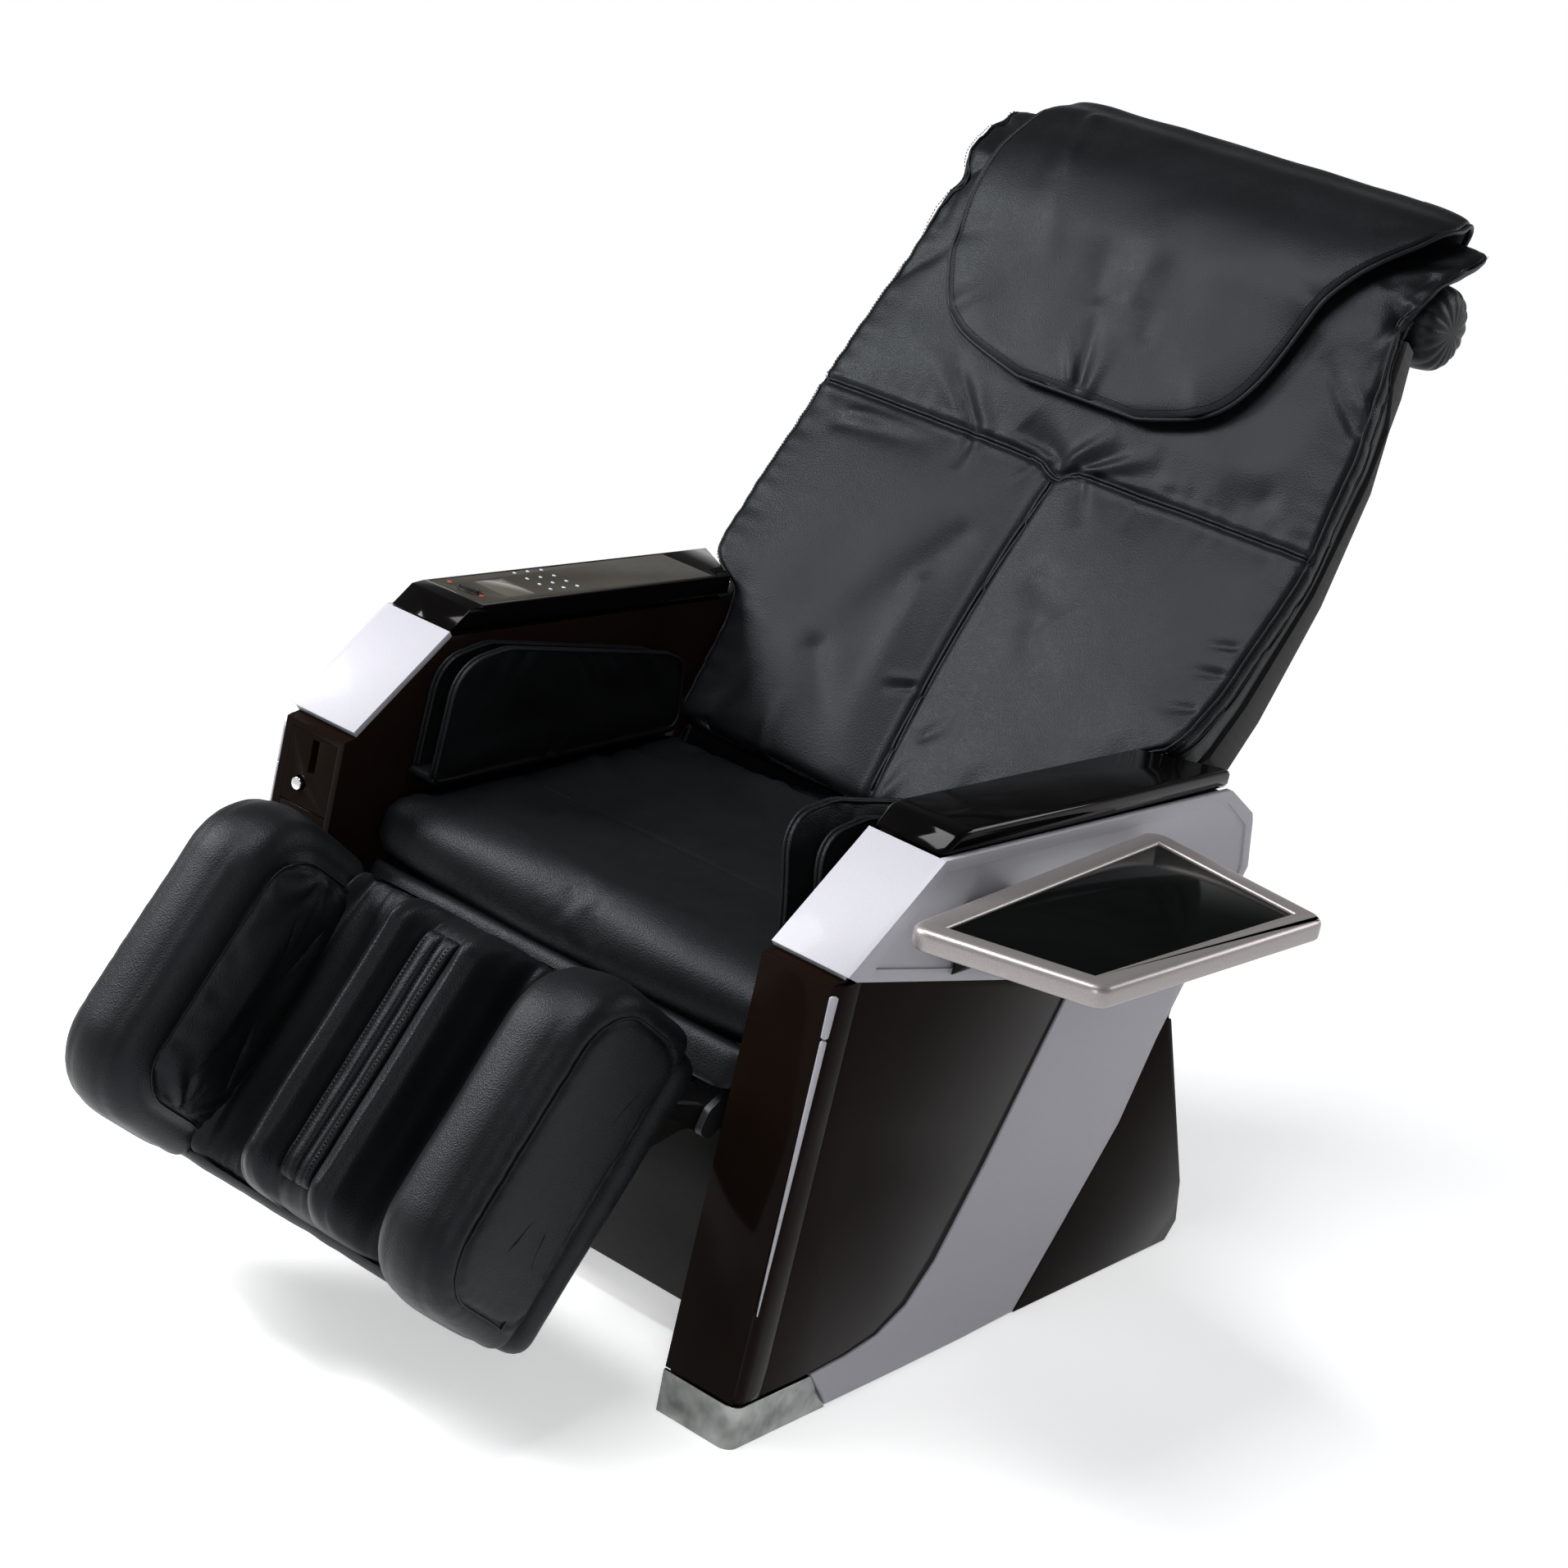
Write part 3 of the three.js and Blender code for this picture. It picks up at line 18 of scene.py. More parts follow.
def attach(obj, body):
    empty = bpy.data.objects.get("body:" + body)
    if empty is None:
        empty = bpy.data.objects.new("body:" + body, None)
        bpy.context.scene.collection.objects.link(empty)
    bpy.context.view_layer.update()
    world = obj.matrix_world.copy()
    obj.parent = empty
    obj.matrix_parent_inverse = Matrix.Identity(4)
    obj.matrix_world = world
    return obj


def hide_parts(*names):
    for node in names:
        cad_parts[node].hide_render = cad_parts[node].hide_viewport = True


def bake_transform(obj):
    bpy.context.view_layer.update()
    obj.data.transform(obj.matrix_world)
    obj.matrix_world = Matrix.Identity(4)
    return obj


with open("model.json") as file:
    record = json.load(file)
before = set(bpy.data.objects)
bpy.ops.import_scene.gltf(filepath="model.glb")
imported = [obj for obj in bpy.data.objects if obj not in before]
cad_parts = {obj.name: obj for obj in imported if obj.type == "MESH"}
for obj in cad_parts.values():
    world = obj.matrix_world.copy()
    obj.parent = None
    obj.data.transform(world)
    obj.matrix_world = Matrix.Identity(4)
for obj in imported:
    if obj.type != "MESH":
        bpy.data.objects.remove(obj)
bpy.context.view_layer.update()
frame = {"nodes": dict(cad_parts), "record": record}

MM = 0.001

# %% [markdown]
# ## The camera
# A photograph is matched by its direction, its tilt and its focal length. The real picture
# looks down at the chair from its left front corner and leans a little, so the camera is
# given three axes of its own instead of being aimed at a target.

# %% Place the camera
AZIMUTH, ELEVATION, ROLL = radians(35.663), radians(19.970), radians(11.039)
CAMERA_PLACE, SENSOR, FOCAL_LENGTH = (2.108572, -2.929107, 1.812905), 36, 80.87
behind = Vector((sin(AZIMUTH) * cos(ELEVATION), -cos(AZIMUTH) * cos(ELEVATION), sin(ELEVATION)))
level_right = (-behind).cross(Vector((0, 0, 1))).normalized()
level_up = level_right.cross(-behind)
camera_x = level_right * cos(ROLL) + level_up * sin(ROLL)
camera_y = level_up * cos(ROLL) - level_right * sin(ROLL)

bpy.ops.object.camera_add(location=CAMERA_PLACE)
camera = bpy.context.object
camera.name = "photo_camera"
camera.rotation_euler = Matrix((camera_x, camera_y, behind)).transposed().to_euler()
camera.data.sensor_width = SENSOR
camera.data.lens = FOCAL_LENGTH
bpy.context.scene.camera = camera
bpy.context.scene.view_settings.view_transform = "Standard"
print("camera tilt in degrees:", round(ROLL * 180 / pi, 2))

# %% [markdown]
# ## Floor, backdrop and light
# A catalogue picture of a black object needs large soft lamps: black leather shows almost
# nothing but reflections. One wide lamp stands on the coin side, a weaker one fills the
# near side, and one hangs above. The floor is pale, so the shadow under the chair stays.

# %% Build the stage
def lamp(name, place, target, size, power):
    bpy.ops.object.light_add(type="AREA", location=place)
    light = bpy.context.object
    light.name = name
    light.data.shape = "RECTANGLE"
    light.data.size, light.data.size_y = size
    light.data.energy = power
    light.rotation_euler = (Vector(place) - Vector(target)).to_track_quat("Z", "Y").to_euler()
    return light


lamp("window", (-2.7, -1.7, 2.5), (0, -0.1, 0.5), (1.0, 1.4), 140)
lamp("fill", (2.4, -2.9, 1.7), (0.2, 0, 0.4), (0.6, 1.3), 24)
lamp("ceiling", (-0.2, -0.9, 3.2), (0, 0, 0.4), (1.5, 0.8), 66)
lamp("rim", (1.8, 2.6, 2.0), (0, 0.3, 0.8), (1.2, 1.0), 25)

bpy.ops.mesh.primitive_plane_add(size=60, location=(0, 0, 0))
floor_plane = bpy.context.object
floor_plane.name = "floor"

world = bpy.data.worlds.new("studio")
bpy.context.scene.world = world
world.use_nodes = True

# %% [markdown]
# A white background is a matter of what the camera sees, not of more light. The world node
# tree asks the light path: rays from the camera, and rays that bounced off gloss, meet white,
# while the light that falls on the chair stays at a plain level. For gloss, the white is a
# band near the horizon and the room is dim above it: black leather needs something dark to
# reflect, or its folds wash out.

# %% Light the world and the floor
def node(tree, kind, **sockets):
    made = tree.nodes.new(kind)
    for key, value in sockets.items():
        if key.startswith("_"):
            setattr(made, key[1:], value)
        else:
            made.inputs[key.replace("_", " ")].default_value = value
    return made


def seen_rays(tree):
    """1 for rays from the camera, off gloss, or through glass."""
    path = node(tree, "ShaderNodeLightPath")
    total = path.outputs["Is Camera Ray"]
    for kind in ("Is Glossy Ray", "Is Transmission Ray"):
        either = node(tree, "ShaderNodeMath", _operation="MAXIMUM")
        tree.links.new(total, either.inputs[0])
        tree.links.new(path.outputs[kind], either.inputs[1])
        total = either.outputs[0]
    return total


def mixed(tree, factor, first, second, result):
    mix = node(tree, "ShaderNodeMixShader")
    tree.links.new(factor, mix.inputs[0])
    tree.links.new(first, mix.inputs[1])
    tree.links.new(second, mix.inputs[2])
    tree.links.new(mix.outputs[0], result.inputs[0])


tree = world.node_tree
tree.nodes.clear()
room = node(tree, "ShaderNodeBackground", Color=(0.80, 0.83, 0.90, 1), Strength=0.15)
white = node(tree, "ShaderNodeBackground", Color=(1, 1, 1, 1), Strength=1.0)
height = node(tree, "ShaderNodeSeparateXYZ")
tree.links.new(node(tree, "ShaderNodeTexCoord").outputs["Generated"], height.inputs[0])
up = node(tree, "ShaderNodeMapRange", From_Min=0.0, From_Max=0.28, To_Min=1.0, To_Max=0.12)
tree.links.new(height.outputs["Z"], up.inputs["Value"])
path = node(tree, "ShaderNodeLightPath")
level = node(tree, "ShaderNodeMath", _operation="MAXIMUM")
tree.links.new(up.outputs["Result"], level.inputs[0])
tree.links.new(path.outputs["Is Camera Ray"], level.inputs[1])
tree.links.new(level.outputs[0], white.inputs["Strength"])
mixed(tree, seen_rays(tree), room.outputs[0], white.outputs[0], node(tree, "ShaderNodeOutputWorld"))
print("world nodes:", len(tree.nodes))

# %% [markdown]
# The floor is real near the chair, where its shadow falls. A haze that only the camera and
# gloss can see makes it paler, and further out it fades into white, so no horizon shows. There
# is no haze on the floor inside the base, which is as dark as any closed box.

# %% Paint the floor
floor_paint = bpy.data.materials.new("pale_floor")
floor_paint.use_nodes = True
tree = floor_paint.node_tree
floor_shader = tree.nodes["Principled BSDF"]
floor_shader.inputs["Base Color"].default_value = (0.92, 0.92, 0.925, 1)
floor_shader.inputs["Roughness"].default_value = 0.7
floor_shader.inputs["Specular IOR Level"].default_value = 0.2
far = node(tree, "ShaderNodeVectorMath", _operation="LENGTH")
tree.links.new(node(tree, "ShaderNodeTexCoord").outputs["Object"], far.inputs[0])
fade = node(tree, "ShaderNodeMapRange", _interpolation_type="SMOOTHSTEP", From_Min=0.6, From_Max=2.2)
tree.links.new(far.outputs["Value"], fade.inputs["Value"])
seen_and_far = node(tree, "ShaderNodeMath", _operation="MULTIPLY")
tree.links.new(fade.outputs["Result"], seen_and_far.inputs[0])
tree.links.new(seen_rays(tree), seen_and_far.inputs[1])
glow = node(tree, "ShaderNodeEmission", Color=(1, 1, 1, 1), Strength=1.0)
BASE_MIDDLE, BASE_HALF = (0, 0.05, 0), (0.30, 0.25, 1)
spot = node(tree, "ShaderNodeTexCoord").outputs["Object"]
for operation, measure in (("SUBTRACT", BASE_MIDDLE), ("ABSOLUTE", BASE_MIDDLE), ("DIVIDE", BASE_HALF)):
    step = node(tree, "ShaderNodeVectorMath", _operation=operation)
    tree.links.new(spot, step.inputs[0])
    step.inputs[1].default_value = measure
    spot = step.outputs[0]
sides = node(tree, "ShaderNodeSeparateXYZ")
tree.links.new(spot, sides.inputs[0])
furthest = node(tree, "ShaderNodeMath", _operation="MAXIMUM")
tree.links.new(sides.outputs["X"], furthest.inputs[0])
tree.links.new(sides.outputs["Y"], furthest.inputs[1])
outside = node(tree, "ShaderNodeMath", _operation="GREATER_THAN")
tree.links.new(furthest.outputs[0], outside.inputs[0])
outside.inputs[1].default_value = 1
seen_outside = node(tree, "ShaderNodeMath", _operation="MULTIPLY")
tree.links.new(seen_rays(tree), seen_outside.inputs[0])
tree.links.new(outside.outputs[0], seen_outside.inputs[1])
paler = node(tree, "ShaderNodeMath", _operation="MULTIPLY")
tree.links.new(seen_outside.outputs[0], paler.inputs[0])
paler.inputs[1].default_value = 0.5
haze = node(tree, "ShaderNodeEmission", Color=(1, 1, 1, 1))
tree.links.new(paler.outputs[0], haze.inputs["Strength"])
both = node(tree, "ShaderNodeAddShader")
tree.links.new(floor_shader.outputs[0], both.inputs[0])
tree.links.new(haze.outputs[0], both.inputs[1])
mixed(tree, seen_and_far.outputs[0], both.outputs[0], glow.outputs[0], tree.nodes["Material Output"])
floor_plane.data.materials.append(floor_paint)
print("floor nodes:", len(tree.nodes))

# %% [markdown]
# ## Finishes
# Every finish is a small recipe: a base colour with slight variation, a roughness that is
# never quite even, and a bump at the scale of the real surface. All patterns read Object
# coordinates in metres, so a scale of 700 means cells of about a millimetre and a half.

# %% A helper for finishes
def new_finish(name, colour, roughness, metallic=0.0, specular=0.5, coat=0.0):
    paint = bpy.data.materials.new(name)
    paint.use_nodes = True
    tree = paint.node_tree
    shader = tree.nodes["Principled BSDF"]
    shader.inputs["Base Color"].default_value = (*colour, 1)
    shader.inputs["Roughness"].default_value = roughness
    shader.inputs["Metallic"].default_value = metallic
    shader.inputs["Specular IOR Level"].default_value = specular
    shader.inputs["Coat Weight"].default_value = coat
    shader.inputs["Coat Roughness"].default_value = 0.06
    place = node(tree, "ShaderNodeTexCoord")
    return paint, tree, shader, place.outputs["Object"]


def speckle(tree, place, scale, detail=2.0, roughness=0.5):
    made = node(tree, "ShaderNodeTexNoise", Scale=scale, Detail=detail, Roughness=roughness)
    tree.links.new(place, made.inputs["Vector"])
    return made.outputs["Fac"]


def cells(tree, place, scale, feature="F1"):
    made = node(tree, "ShaderNodeTexVoronoi", _feature=feature, Scale=scale)
    tree.links.new(place, made.inputs["Vector"])
    return made.outputs["Distance"]


def colour_range(tree, factor, shader, dark, light, low=0.3, high=0.7):
    ramp = node(tree, "ShaderNodeValToRGB")
    ramp.color_ramp.elements[0].position = low
    ramp.color_ramp.elements[0].color = (*dark, 1)
    ramp.color_ramp.elements[1].position = high
    ramp.color_ramp.elements[1].color = (*light, 1)
    tree.links.new(factor, ramp.inputs["Fac"])
    tree.links.new(ramp.outputs["Color"], shader.inputs["Base Color"])


def roughness_range(tree, factor, shader, low, high):
    spread = node(tree, "ShaderNodeMapRange", To_Min=low, To_Max=high)
    tree.links.new(factor, spread.inputs["Value"])
    tree.links.new(spread.outputs["Result"], shader.inputs["Roughness"])


def bump(tree, height, shader, distance, strength=1.0, under=None):
    made = node(tree, "ShaderNodeBump", Distance=distance, Strength=strength)
    tree.links.new(height, made.inputs["Height"])
    if under:
        tree.links.new(under.outputs["Normal"], made.inputs["Normal"])
    tree.links.new(made.outputs["Normal"], shader.inputs["Normal"])
    return made


# %% Leather
def leather_finish(name, dark, light, low, high):
    paint, tree, shader, place = new_finish(name, dark, 0.45, specular=0.18)
    shader.inputs["Specular Tint"].default_value = (0.84, 0.92, 1.0, 1)
    broad = speckle(tree, place, 9, 4, 0.6)
    colour_range(tree, broad, shader, dark, light)
    pore = cells(tree, place, 620)
    fine = speckle(tree, place, 1500, 2)
    roughness_range(tree, speckle(tree, place, 55, 5, 0.65), shader, low, high)
    first = bump(tree, pore, shader, 0.00032, 0.8)
    bump(tree, fine, shader, 0.00012, 0.6, under=first)
    return paint


black_leather = leather_finish("black_leather", (0.0036, 0.0038, 0.0043), (0.0068, 0.0071, 0.0080), 0.36, 0.48)
print("leather made")


# %% Painted, plated and moulded finishes
def gloss_finish(name, dark, light, low, high, specular):
    paint, tree, shader, place = new_finish(name, dark, low, specular=specular)
    colour_range(tree, speckle(tree, place, 6, 3), shader, dark, light)
    roughness_range(tree, speckle(tree, place, 240, 4, 0.7), shader, low, high)
    bump(tree, speckle(tree, place, 26, 2), shader, 0.0002, 0.12)
    return paint


def metallic_paint(name, dark, light, metallic, low, high, flake):
    paint, tree, shader, place = new_finish(name, dark, low, metallic=metallic, specular=0.35, coat=0.04)
    grain = speckle(tree, place, flake, 2, 0.6)
    colour_range(tree, grain, shader, dark, light, 0.25, 0.75)
    roughness_range(tree, grain, shader, low, high)
    bump(tree, grain, shader, 0.00008, 0.5)
    return paint


def moulded_finish(name, dark, light, low, high, pebble):
    paint, tree, shader, place = new_finish(name, dark, low, specular=0.2)
    colour_range(tree, speckle(tree, place, 14, 4), shader, dark, light)
    roughness_range(tree, speckle(tree, place, 90, 4), shader, low, high)
    bump(tree, cells(tree, place, pebble), shader, 0.00015, 0.5)
    return paint


# The gloss black is tinted brown: a painted reflection of a brown room in the black gloss.
gloss_black = gloss_finish("gloss_black", (0.0060, 0.0034, 0.0024), (0.0095, 0.0054, 0.0039), 0.05, 0.11, 0.025)
pad_gloss = gloss_finish("pad_gloss", (0.0018, 0.0016, 0.0016), (0.0028, 0.0024, 0.0023), 0.05, 0.10, 0.10)
tray_gloss = gloss_finish("tray_gloss", (0.0022, 0.0026, 0.0026), (0.0034, 0.0039, 0.0039), 0.05, 0.12, 0.008)
silver_trim = metallic_paint("silver_trim", (0.37, 0.365, 0.40), (0.47, 0.465, 0.51), 0.10, 0.50, 0.60, 1400)
tray_silver = metallic_paint("tray_silver", (0.30, 0.272, 0.272), (0.44, 0.405, 0.40), 0.7, 0.30, 0.46, 1100)
chrome = metallic_paint("chrome", (0.60, 0.60, 0.60), (0.66, 0.66, 0.66), 1.0, 0.06, 0.12, 300)
# The chrome of the kick plates is mottled from dark to light by a coarse noise.
mottled_chrome = metallic_paint("mottled_chrome", (0.11, 0.115, 0.11), (0.33, 0.34, 0.33), 1.0, 0.10, 0.30, 34)
zinc_steel = metallic_paint("zinc_steel", (0.42, 0.43, 0.44), (0.56, 0.57, 0.58), 0.95, 0.28, 0.45, 260)
dark_steel = metallic_paint("dark_steel", (0.035, 0.037, 0.04), (0.06, 0.062, 0.066), 0.6, 0.42, 0.6, 500)
satin_black = moulded_finish("satin_black", (0.0058, 0.0054, 0.0050), (0.0105, 0.0098, 0.0090), 0.38, 0.52, 900)
roller_rubber = moulded_finish("roller_rubber", (0.012, 0.012, 0.012), (0.022, 0.022, 0.022), 0.7, 0.85, 500)
panel_grey = moulded_finish("panel_grey", (0.030, 0.027, 0.021), (0.040, 0.036, 0.029), 0.40, 0.50, 1100)
display_glass = gloss_finish("display_glass", (0.072, 0.068, 0.055), (0.088, 0.083, 0.068), 0.10, 0.2, 0.5)
print("finishes:", len(bpy.data.materials))


# %% Woven cover of the back
def woven_finish(name, dark, light, threads):
    paint, tree, shader, place = new_finish(name, dark, 0.85, specular=0.25)
    shader.inputs["Sheen Weight"].default_value = 0.25
    colour_range(tree, speckle(tree, place, 900, 3), shader, dark, light)
    across = node(tree, "ShaderNodeTexWave", Scale=threads, _bands_direction="X")
    along_ = node(tree, "ShaderNodeTexWave", Scale=threads, _bands_direction="Z")
    woven = node(tree, "ShaderNodeMath", _operation="ADD")
    tree.links.new(place, across.inputs["Vector"])
    tree.links.new(place, along_.inputs["Vector"])
    tree.links.new(across.outputs["Fac"], woven.inputs[0])
    tree.links.new(along_.outputs["Fac"], woven.inputs[1])
    bump(tree, woven.outputs[0], shader, 0.0003, 0.7)
    return paint


back_cover = woven_finish("back_cover", (0.010, 0.010, 0.011), (0.022, 0.022, 0.024), 220)

FINISH_OF_SLOT = {
    "gloss_black": gloss_black,
    "satin_black": satin_black,
    "silver_trim": silver_trim,
    "tray_silver": tray_silver,
    "chrome": chrome,
    "black_leather": black_leather,
    "back_cover": back_cover,
    "dark_steel": dark_steel,
    "zinc_steel": zinc_steel,
    "roller_rubber": roller_rubber,
    "display": display_glass,
}
print("slots covered:", sorted(FINISH_OF_SLOT))

# %% [markdown]
# ## Rounded edges on the hard parts
# Machined and moulded parts never end in a perfectly sharp edge, and it is the rounded edge
# that catches the light. A CAD node is loose triangles, so its copy is merged first, its flat
# faces are joined again, and a bevel then rounds every edge that turns by more than a little.

# %% Helpers: selecting, and a bevelled copy of a CAD node
def deselect():
    if bpy.context.object and bpy.context.object.mode != "OBJECT":
        bpy.ops.object.mode_set(mode="OBJECT")
    bpy.ops.object.select_all(action="DESELECT")


def pick(piece):
    deselect()
    piece.select_set(True)
    bpy.context.view_layer.objects.active = piece


def apply(piece, modifier):
    pick(piece)
    bpy.ops.object.modifier_apply(modifier=modifier.name)


def paint(piece, finish):
    piece.data.materials.clear()
    piece.data.materials.append(finish)


def bevelled(piece, edge, segments=2, turn=28):
    rounding = piece.modifiers.new("rounding", "BEVEL")
    rounding.width = edge * MM
    rounding.segments = segments
    rounding.limit_method = "ANGLE"
    rounding.angle_limit = radians(turn)
    rounding.use_clamp_overlap = True
    apply(piece, rounding)
    pick(piece)
    bpy.ops.object.shade_smooth_by_angle(angle=radians(34))


def face_outwards(mesh):
    """Faces agree with each other first; a negative volume then means inside out."""
    bm = bmesh.new()
    bm.from_mesh(mesh)
    bmesh.ops.recalc_face_normals(bm, faces=bm.faces)
    if bm.calc_volume(signed=True) < 0:
        bmesh.ops.reverse_faces(bm, faces=bm.faces)
    bm.to_mesh(mesh)
    bm.free()


def spread(start, end, count):
    return [start + (end - start) * i / (count - 1) for i in range(count)]


def merged_copy(node_name, name):
    source = frame["nodes"][node_name]
    piece = bpy.data.objects.new(name, source.data.copy())
    bpy.context.scene.collection.objects.link(piece)
    pick(piece)
    bpy.ops.object.mode_set(mode="EDIT")
    bpy.ops.mesh.select_all(action="SELECT")
    bpy.ops.mesh.remove_doubles(threshold=0.00002)
    bpy.ops.mesh.dissolve_limited(angle_limit=radians(0.6))
    bpy.ops.object.mode_set(mode="OBJECT")
    return piece


def dressed(node_name, name, finish, edge, segments=2, turn=28):
    piece = merged_copy(node_name, name)
    bevelled(piece, edge, segments, turn)
    paint(piece, finish)
    return piece


def body_of(node_name):
    for body, names in frame["record"]["behaviour"]["bodies"].items():
        if node_name in names:
            return body
    return "root"


def stands_for(piece, node_name):
    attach(piece, body_of(node_name))
    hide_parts(node_name)


# %% The cabinets, panels, trims and covers
HARD_PIECES = [  # node, finish, slot, edge radius in mm
    ("cabinet_shell", gloss_black, "gloss_black", 3.4),
    ("side_panel", gloss_black, "gloss_black", 1.2),
    ("rear_panel", gloss_black, "gloss_black", 1.0),
    ("side_strip", silver_trim, "silver_trim", 1.4),
    ("arm_trim", silver_trim, "silver_trim", 5.0),
    ("kick_plate", mottled_chrome, "chrome", 1.6),
    ("armrest_top", pad_gloss, "gloss_black", 6.0),
]
for side in ("left", "right"):
    for part, finish, slot, edge in HARD_PIECES:
        node_name = f"{side}_{part}"
        piece = dressed(node_name, f"{side}_{part}_finished", finish, edge)
        stands_for(piece, node_name)
print("cabinet pieces:", 2 * len(HARD_PIECES))

SMALL_PIECES = [
    ("coin_panel", gloss_black, "satin_black", 0.6),
    ("coin_return_button", chrome, "chrome", 1.0),
    ("cash_door", gloss_black, "gloss_black", 0.8),
    ("cash_door_lock", chrome, "chrome", 0.6),
    ("control_panel", panel_grey, "satin_black", 0.4),
    ("display_window", display_glass, "display", 0.3),
    ("power_key", satin_black, "satin_black", 0.8),
    ("tray_bracket", satin_black, "satin_black", 1.2),
    ("front_cover", satin_black, "satin_black", 1.0),
    ("rear_cover", satin_black, "satin_black", 1.2),
    ("leg_shell", satin_black, "satin_black", 1.6),
    ("power_box", satin_black, "satin_black", 1.5),
    ("air_pump", satin_black, "satin_black", 1.5),
]
for part, finish, slot, edge in SMALL_PIECES:
    piece = dressed(part, f"{part}_finished", finish, edge)
    stands_for(piece, part)
print("small pieces:", len(SMALL_PIECES))

# %% [markdown]
# The rim of the tray is a soft pillow of metallic paint around a glossy black plate. Its
# edges don't all turn with the same radius, so each edge gets a weight of its own: wide on
# top, less beside the plate, and fine on the small hinge parts below.

# %% Round the tray by edge weights
TRAY_TOP, PLATE_TOP, PLATE_TOP_IN_CAD = 580, 576.8, 578
PLATE_CORNERS = [(424.5, 93.0), (450.1, -313.5), (591.5, -269.5), (606.5, 66.5)]


def beside_plate(x, y):
    gaps = []
    for i, corner in enumerate(PLATE_CORNERS):
        a, b = Vector(corner), Vector(PLATE_CORNERS[i - 1])
        t = max(0, min(1, (Vector((x, y)) - a).dot(b - a) / (b - a).length_squared))
        gaps.append((a.lerp(b, t) - Vector((x, y))).length)
    return min(gaps) < 6


def tray_weight(edge):
    if edge.calc_face_angle(0) < radians(28):
        return 0
    (x0, y0, z0), (x1, y1, z1) = (v.co / MM for v in edge.verts)
    inner = beside_plate((x0 + x1) / 2, (y0 + y1) / 2)
    if min(z0, z1) > TRAY_TOP - 2:
        return 0.42 if inner else 1
    if abs(z1 - z0) > 18:
        return 0.6
    return 0.3 if max(z0, z1) > 557 and not inner else 0.06


tray = merged_copy("tray_frame", "tray_frame_finished")
bm = bmesh.new()
bm.from_mesh(tray.data)
weights = bm.edges.layers.float.new("bevel_weight_edge")
for edge in bm.edges:
    edge[weights] = tray_weight(edge)
bm.to_mesh(tray.data)
bm.free()
rounding = tray.modifiers.new("rounding", "BEVEL")
rounding.width, rounding.segments, rounding.limit_method = 8 * MM, 4, "WEIGHT"
rounding.use_clamp_overlap = False
apply(tray, rounding)
pick(tray)
bpy.ops.object.shade_smooth_by_angle(angle=radians(34))
paint(tray, tray_silver)
stands_for(tray, "tray_frame")

plate = dressed("tray_inset", "tray_inset_finished", tray_gloss, 0.8)
for v in plate.data.vertices:
    if v.co.z > (PLATE_TOP_IN_CAD - 2.5) * MM:
        v.co.z += (PLATE_TOP - PLATE_TOP_IN_CAD) * MM
stands_for(plate, "tray_inset")
print("tray:", len(tray.data.polygons), "faces")

# %% [markdown]
# A slim bright strip runs down the front corner of each cabinet. It is a painted highlight in silver, standing in for
# the reflection of light in the rounded black corner. It is widest at the top, where a short piece stands apart, and
# tapers out above the kick plate.

# %% Set the painted highlight strips into the cabinet corners
CORNER_X, CORNER_FOOT, CORNER_LEAN = 382.2, -402.6, 0.0593
SLANT, HIGHLIGHT_STRIP_RISE = 0.7071, 1.9        # the painted highlight strip faces half way round the corner


# Painted highlight: a bright silver strip that stands in for the reflection of light down the rounded corner.
def painted_corner_highlight(name, side, low, high, wide_low, wide_high):
    rings = []
    for z in [low, low + 1.5] + spread(low + 6, high - 6, 24) + [high - 1.5, high]:
        t = (z - low) / (high - low)
        half = (wide_low + (wide_high - wide_low) * t ** 0.7) * (0.55 if z in (low, high) else 1)
        middle = Vector((CORNER_X, CORNER_FOOT + (z - 50) * CORNER_LEAN))
        ring = []
        for k in range(16):
            across, out = half * cos(2 * pi * k / 16), HIGHLIGHT_STRIP_RISE * sin(2 * pi * k / 16)
            x, y = middle.x + (across + out) * SLANT, middle.y + (across - out) * SLANT
            ring.append(Vector((side * x, y, z)) * MM)
        rings.append(ring)
    mesh = bpy.data.meshes.new(name)
    count = 16
    points = [p for ring in rings for p in ring]
    faces = [(r * count + k, r * count + (k + 1) % count, (r + 1) * count + (k + 1) % count, (r + 1) * count + k)
             for r in range(len(rings) - 1) for k in range(count)]
    faces += [tuple(range(count)), tuple(range((len(rings) - 1) * count, len(rings) * count))]
    mesh.from_pydata(points, [], faces)
    face_outwards(mesh)
    piece = bpy.data.objects.new(name, mesh)
    bpy.context.scene.collection.objects.link(piece)
    pick(piece)
    bpy.ops.object.shade_smooth_by_angle(angle=radians(40))
    paint(piece, silver_trim)
    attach(piece, "root")


for side, name in ((1, "left"), (-1, "right")):
    painted_corner_highlight(f"{name}_painted_corner_highlight", side, 150, 446, 0.7, 3.4)
    painted_corner_highlight(f"{name}_painted_corner_highlight_top", side, 448, 492, 3.8, 4.6)
print("corner inserts: 4")

# %% [markdown]
# The keys of the control panel are twelve pale lozenges in three rows. Two small red
# lamps stand beside the round switch, which sits in a raised ring.

# %% Place the keys and lamps on the control panel
key_pale = moulded_finish("key_pale", (0.46, 0.50, 0.58), (0.60, 0.64, 0.72), 0.3, 0.4, 1500)
lamp_red = moulded_finish("lamp_red", (0.40, 0.045, 0.015), (0.52, 0.07, 0.025), 0.25, 0.4, 1500)
ring_grey = moulded_finish("ring_grey", (0.008, 0.008, 0.008), (0.013, 0.013, 0.013), 0.3, 0.4, 900)
PANEL_FRONT_Y, PANEL_FRONT_Z, PANEL_SLOPE = -190, 631.8, 0.04036


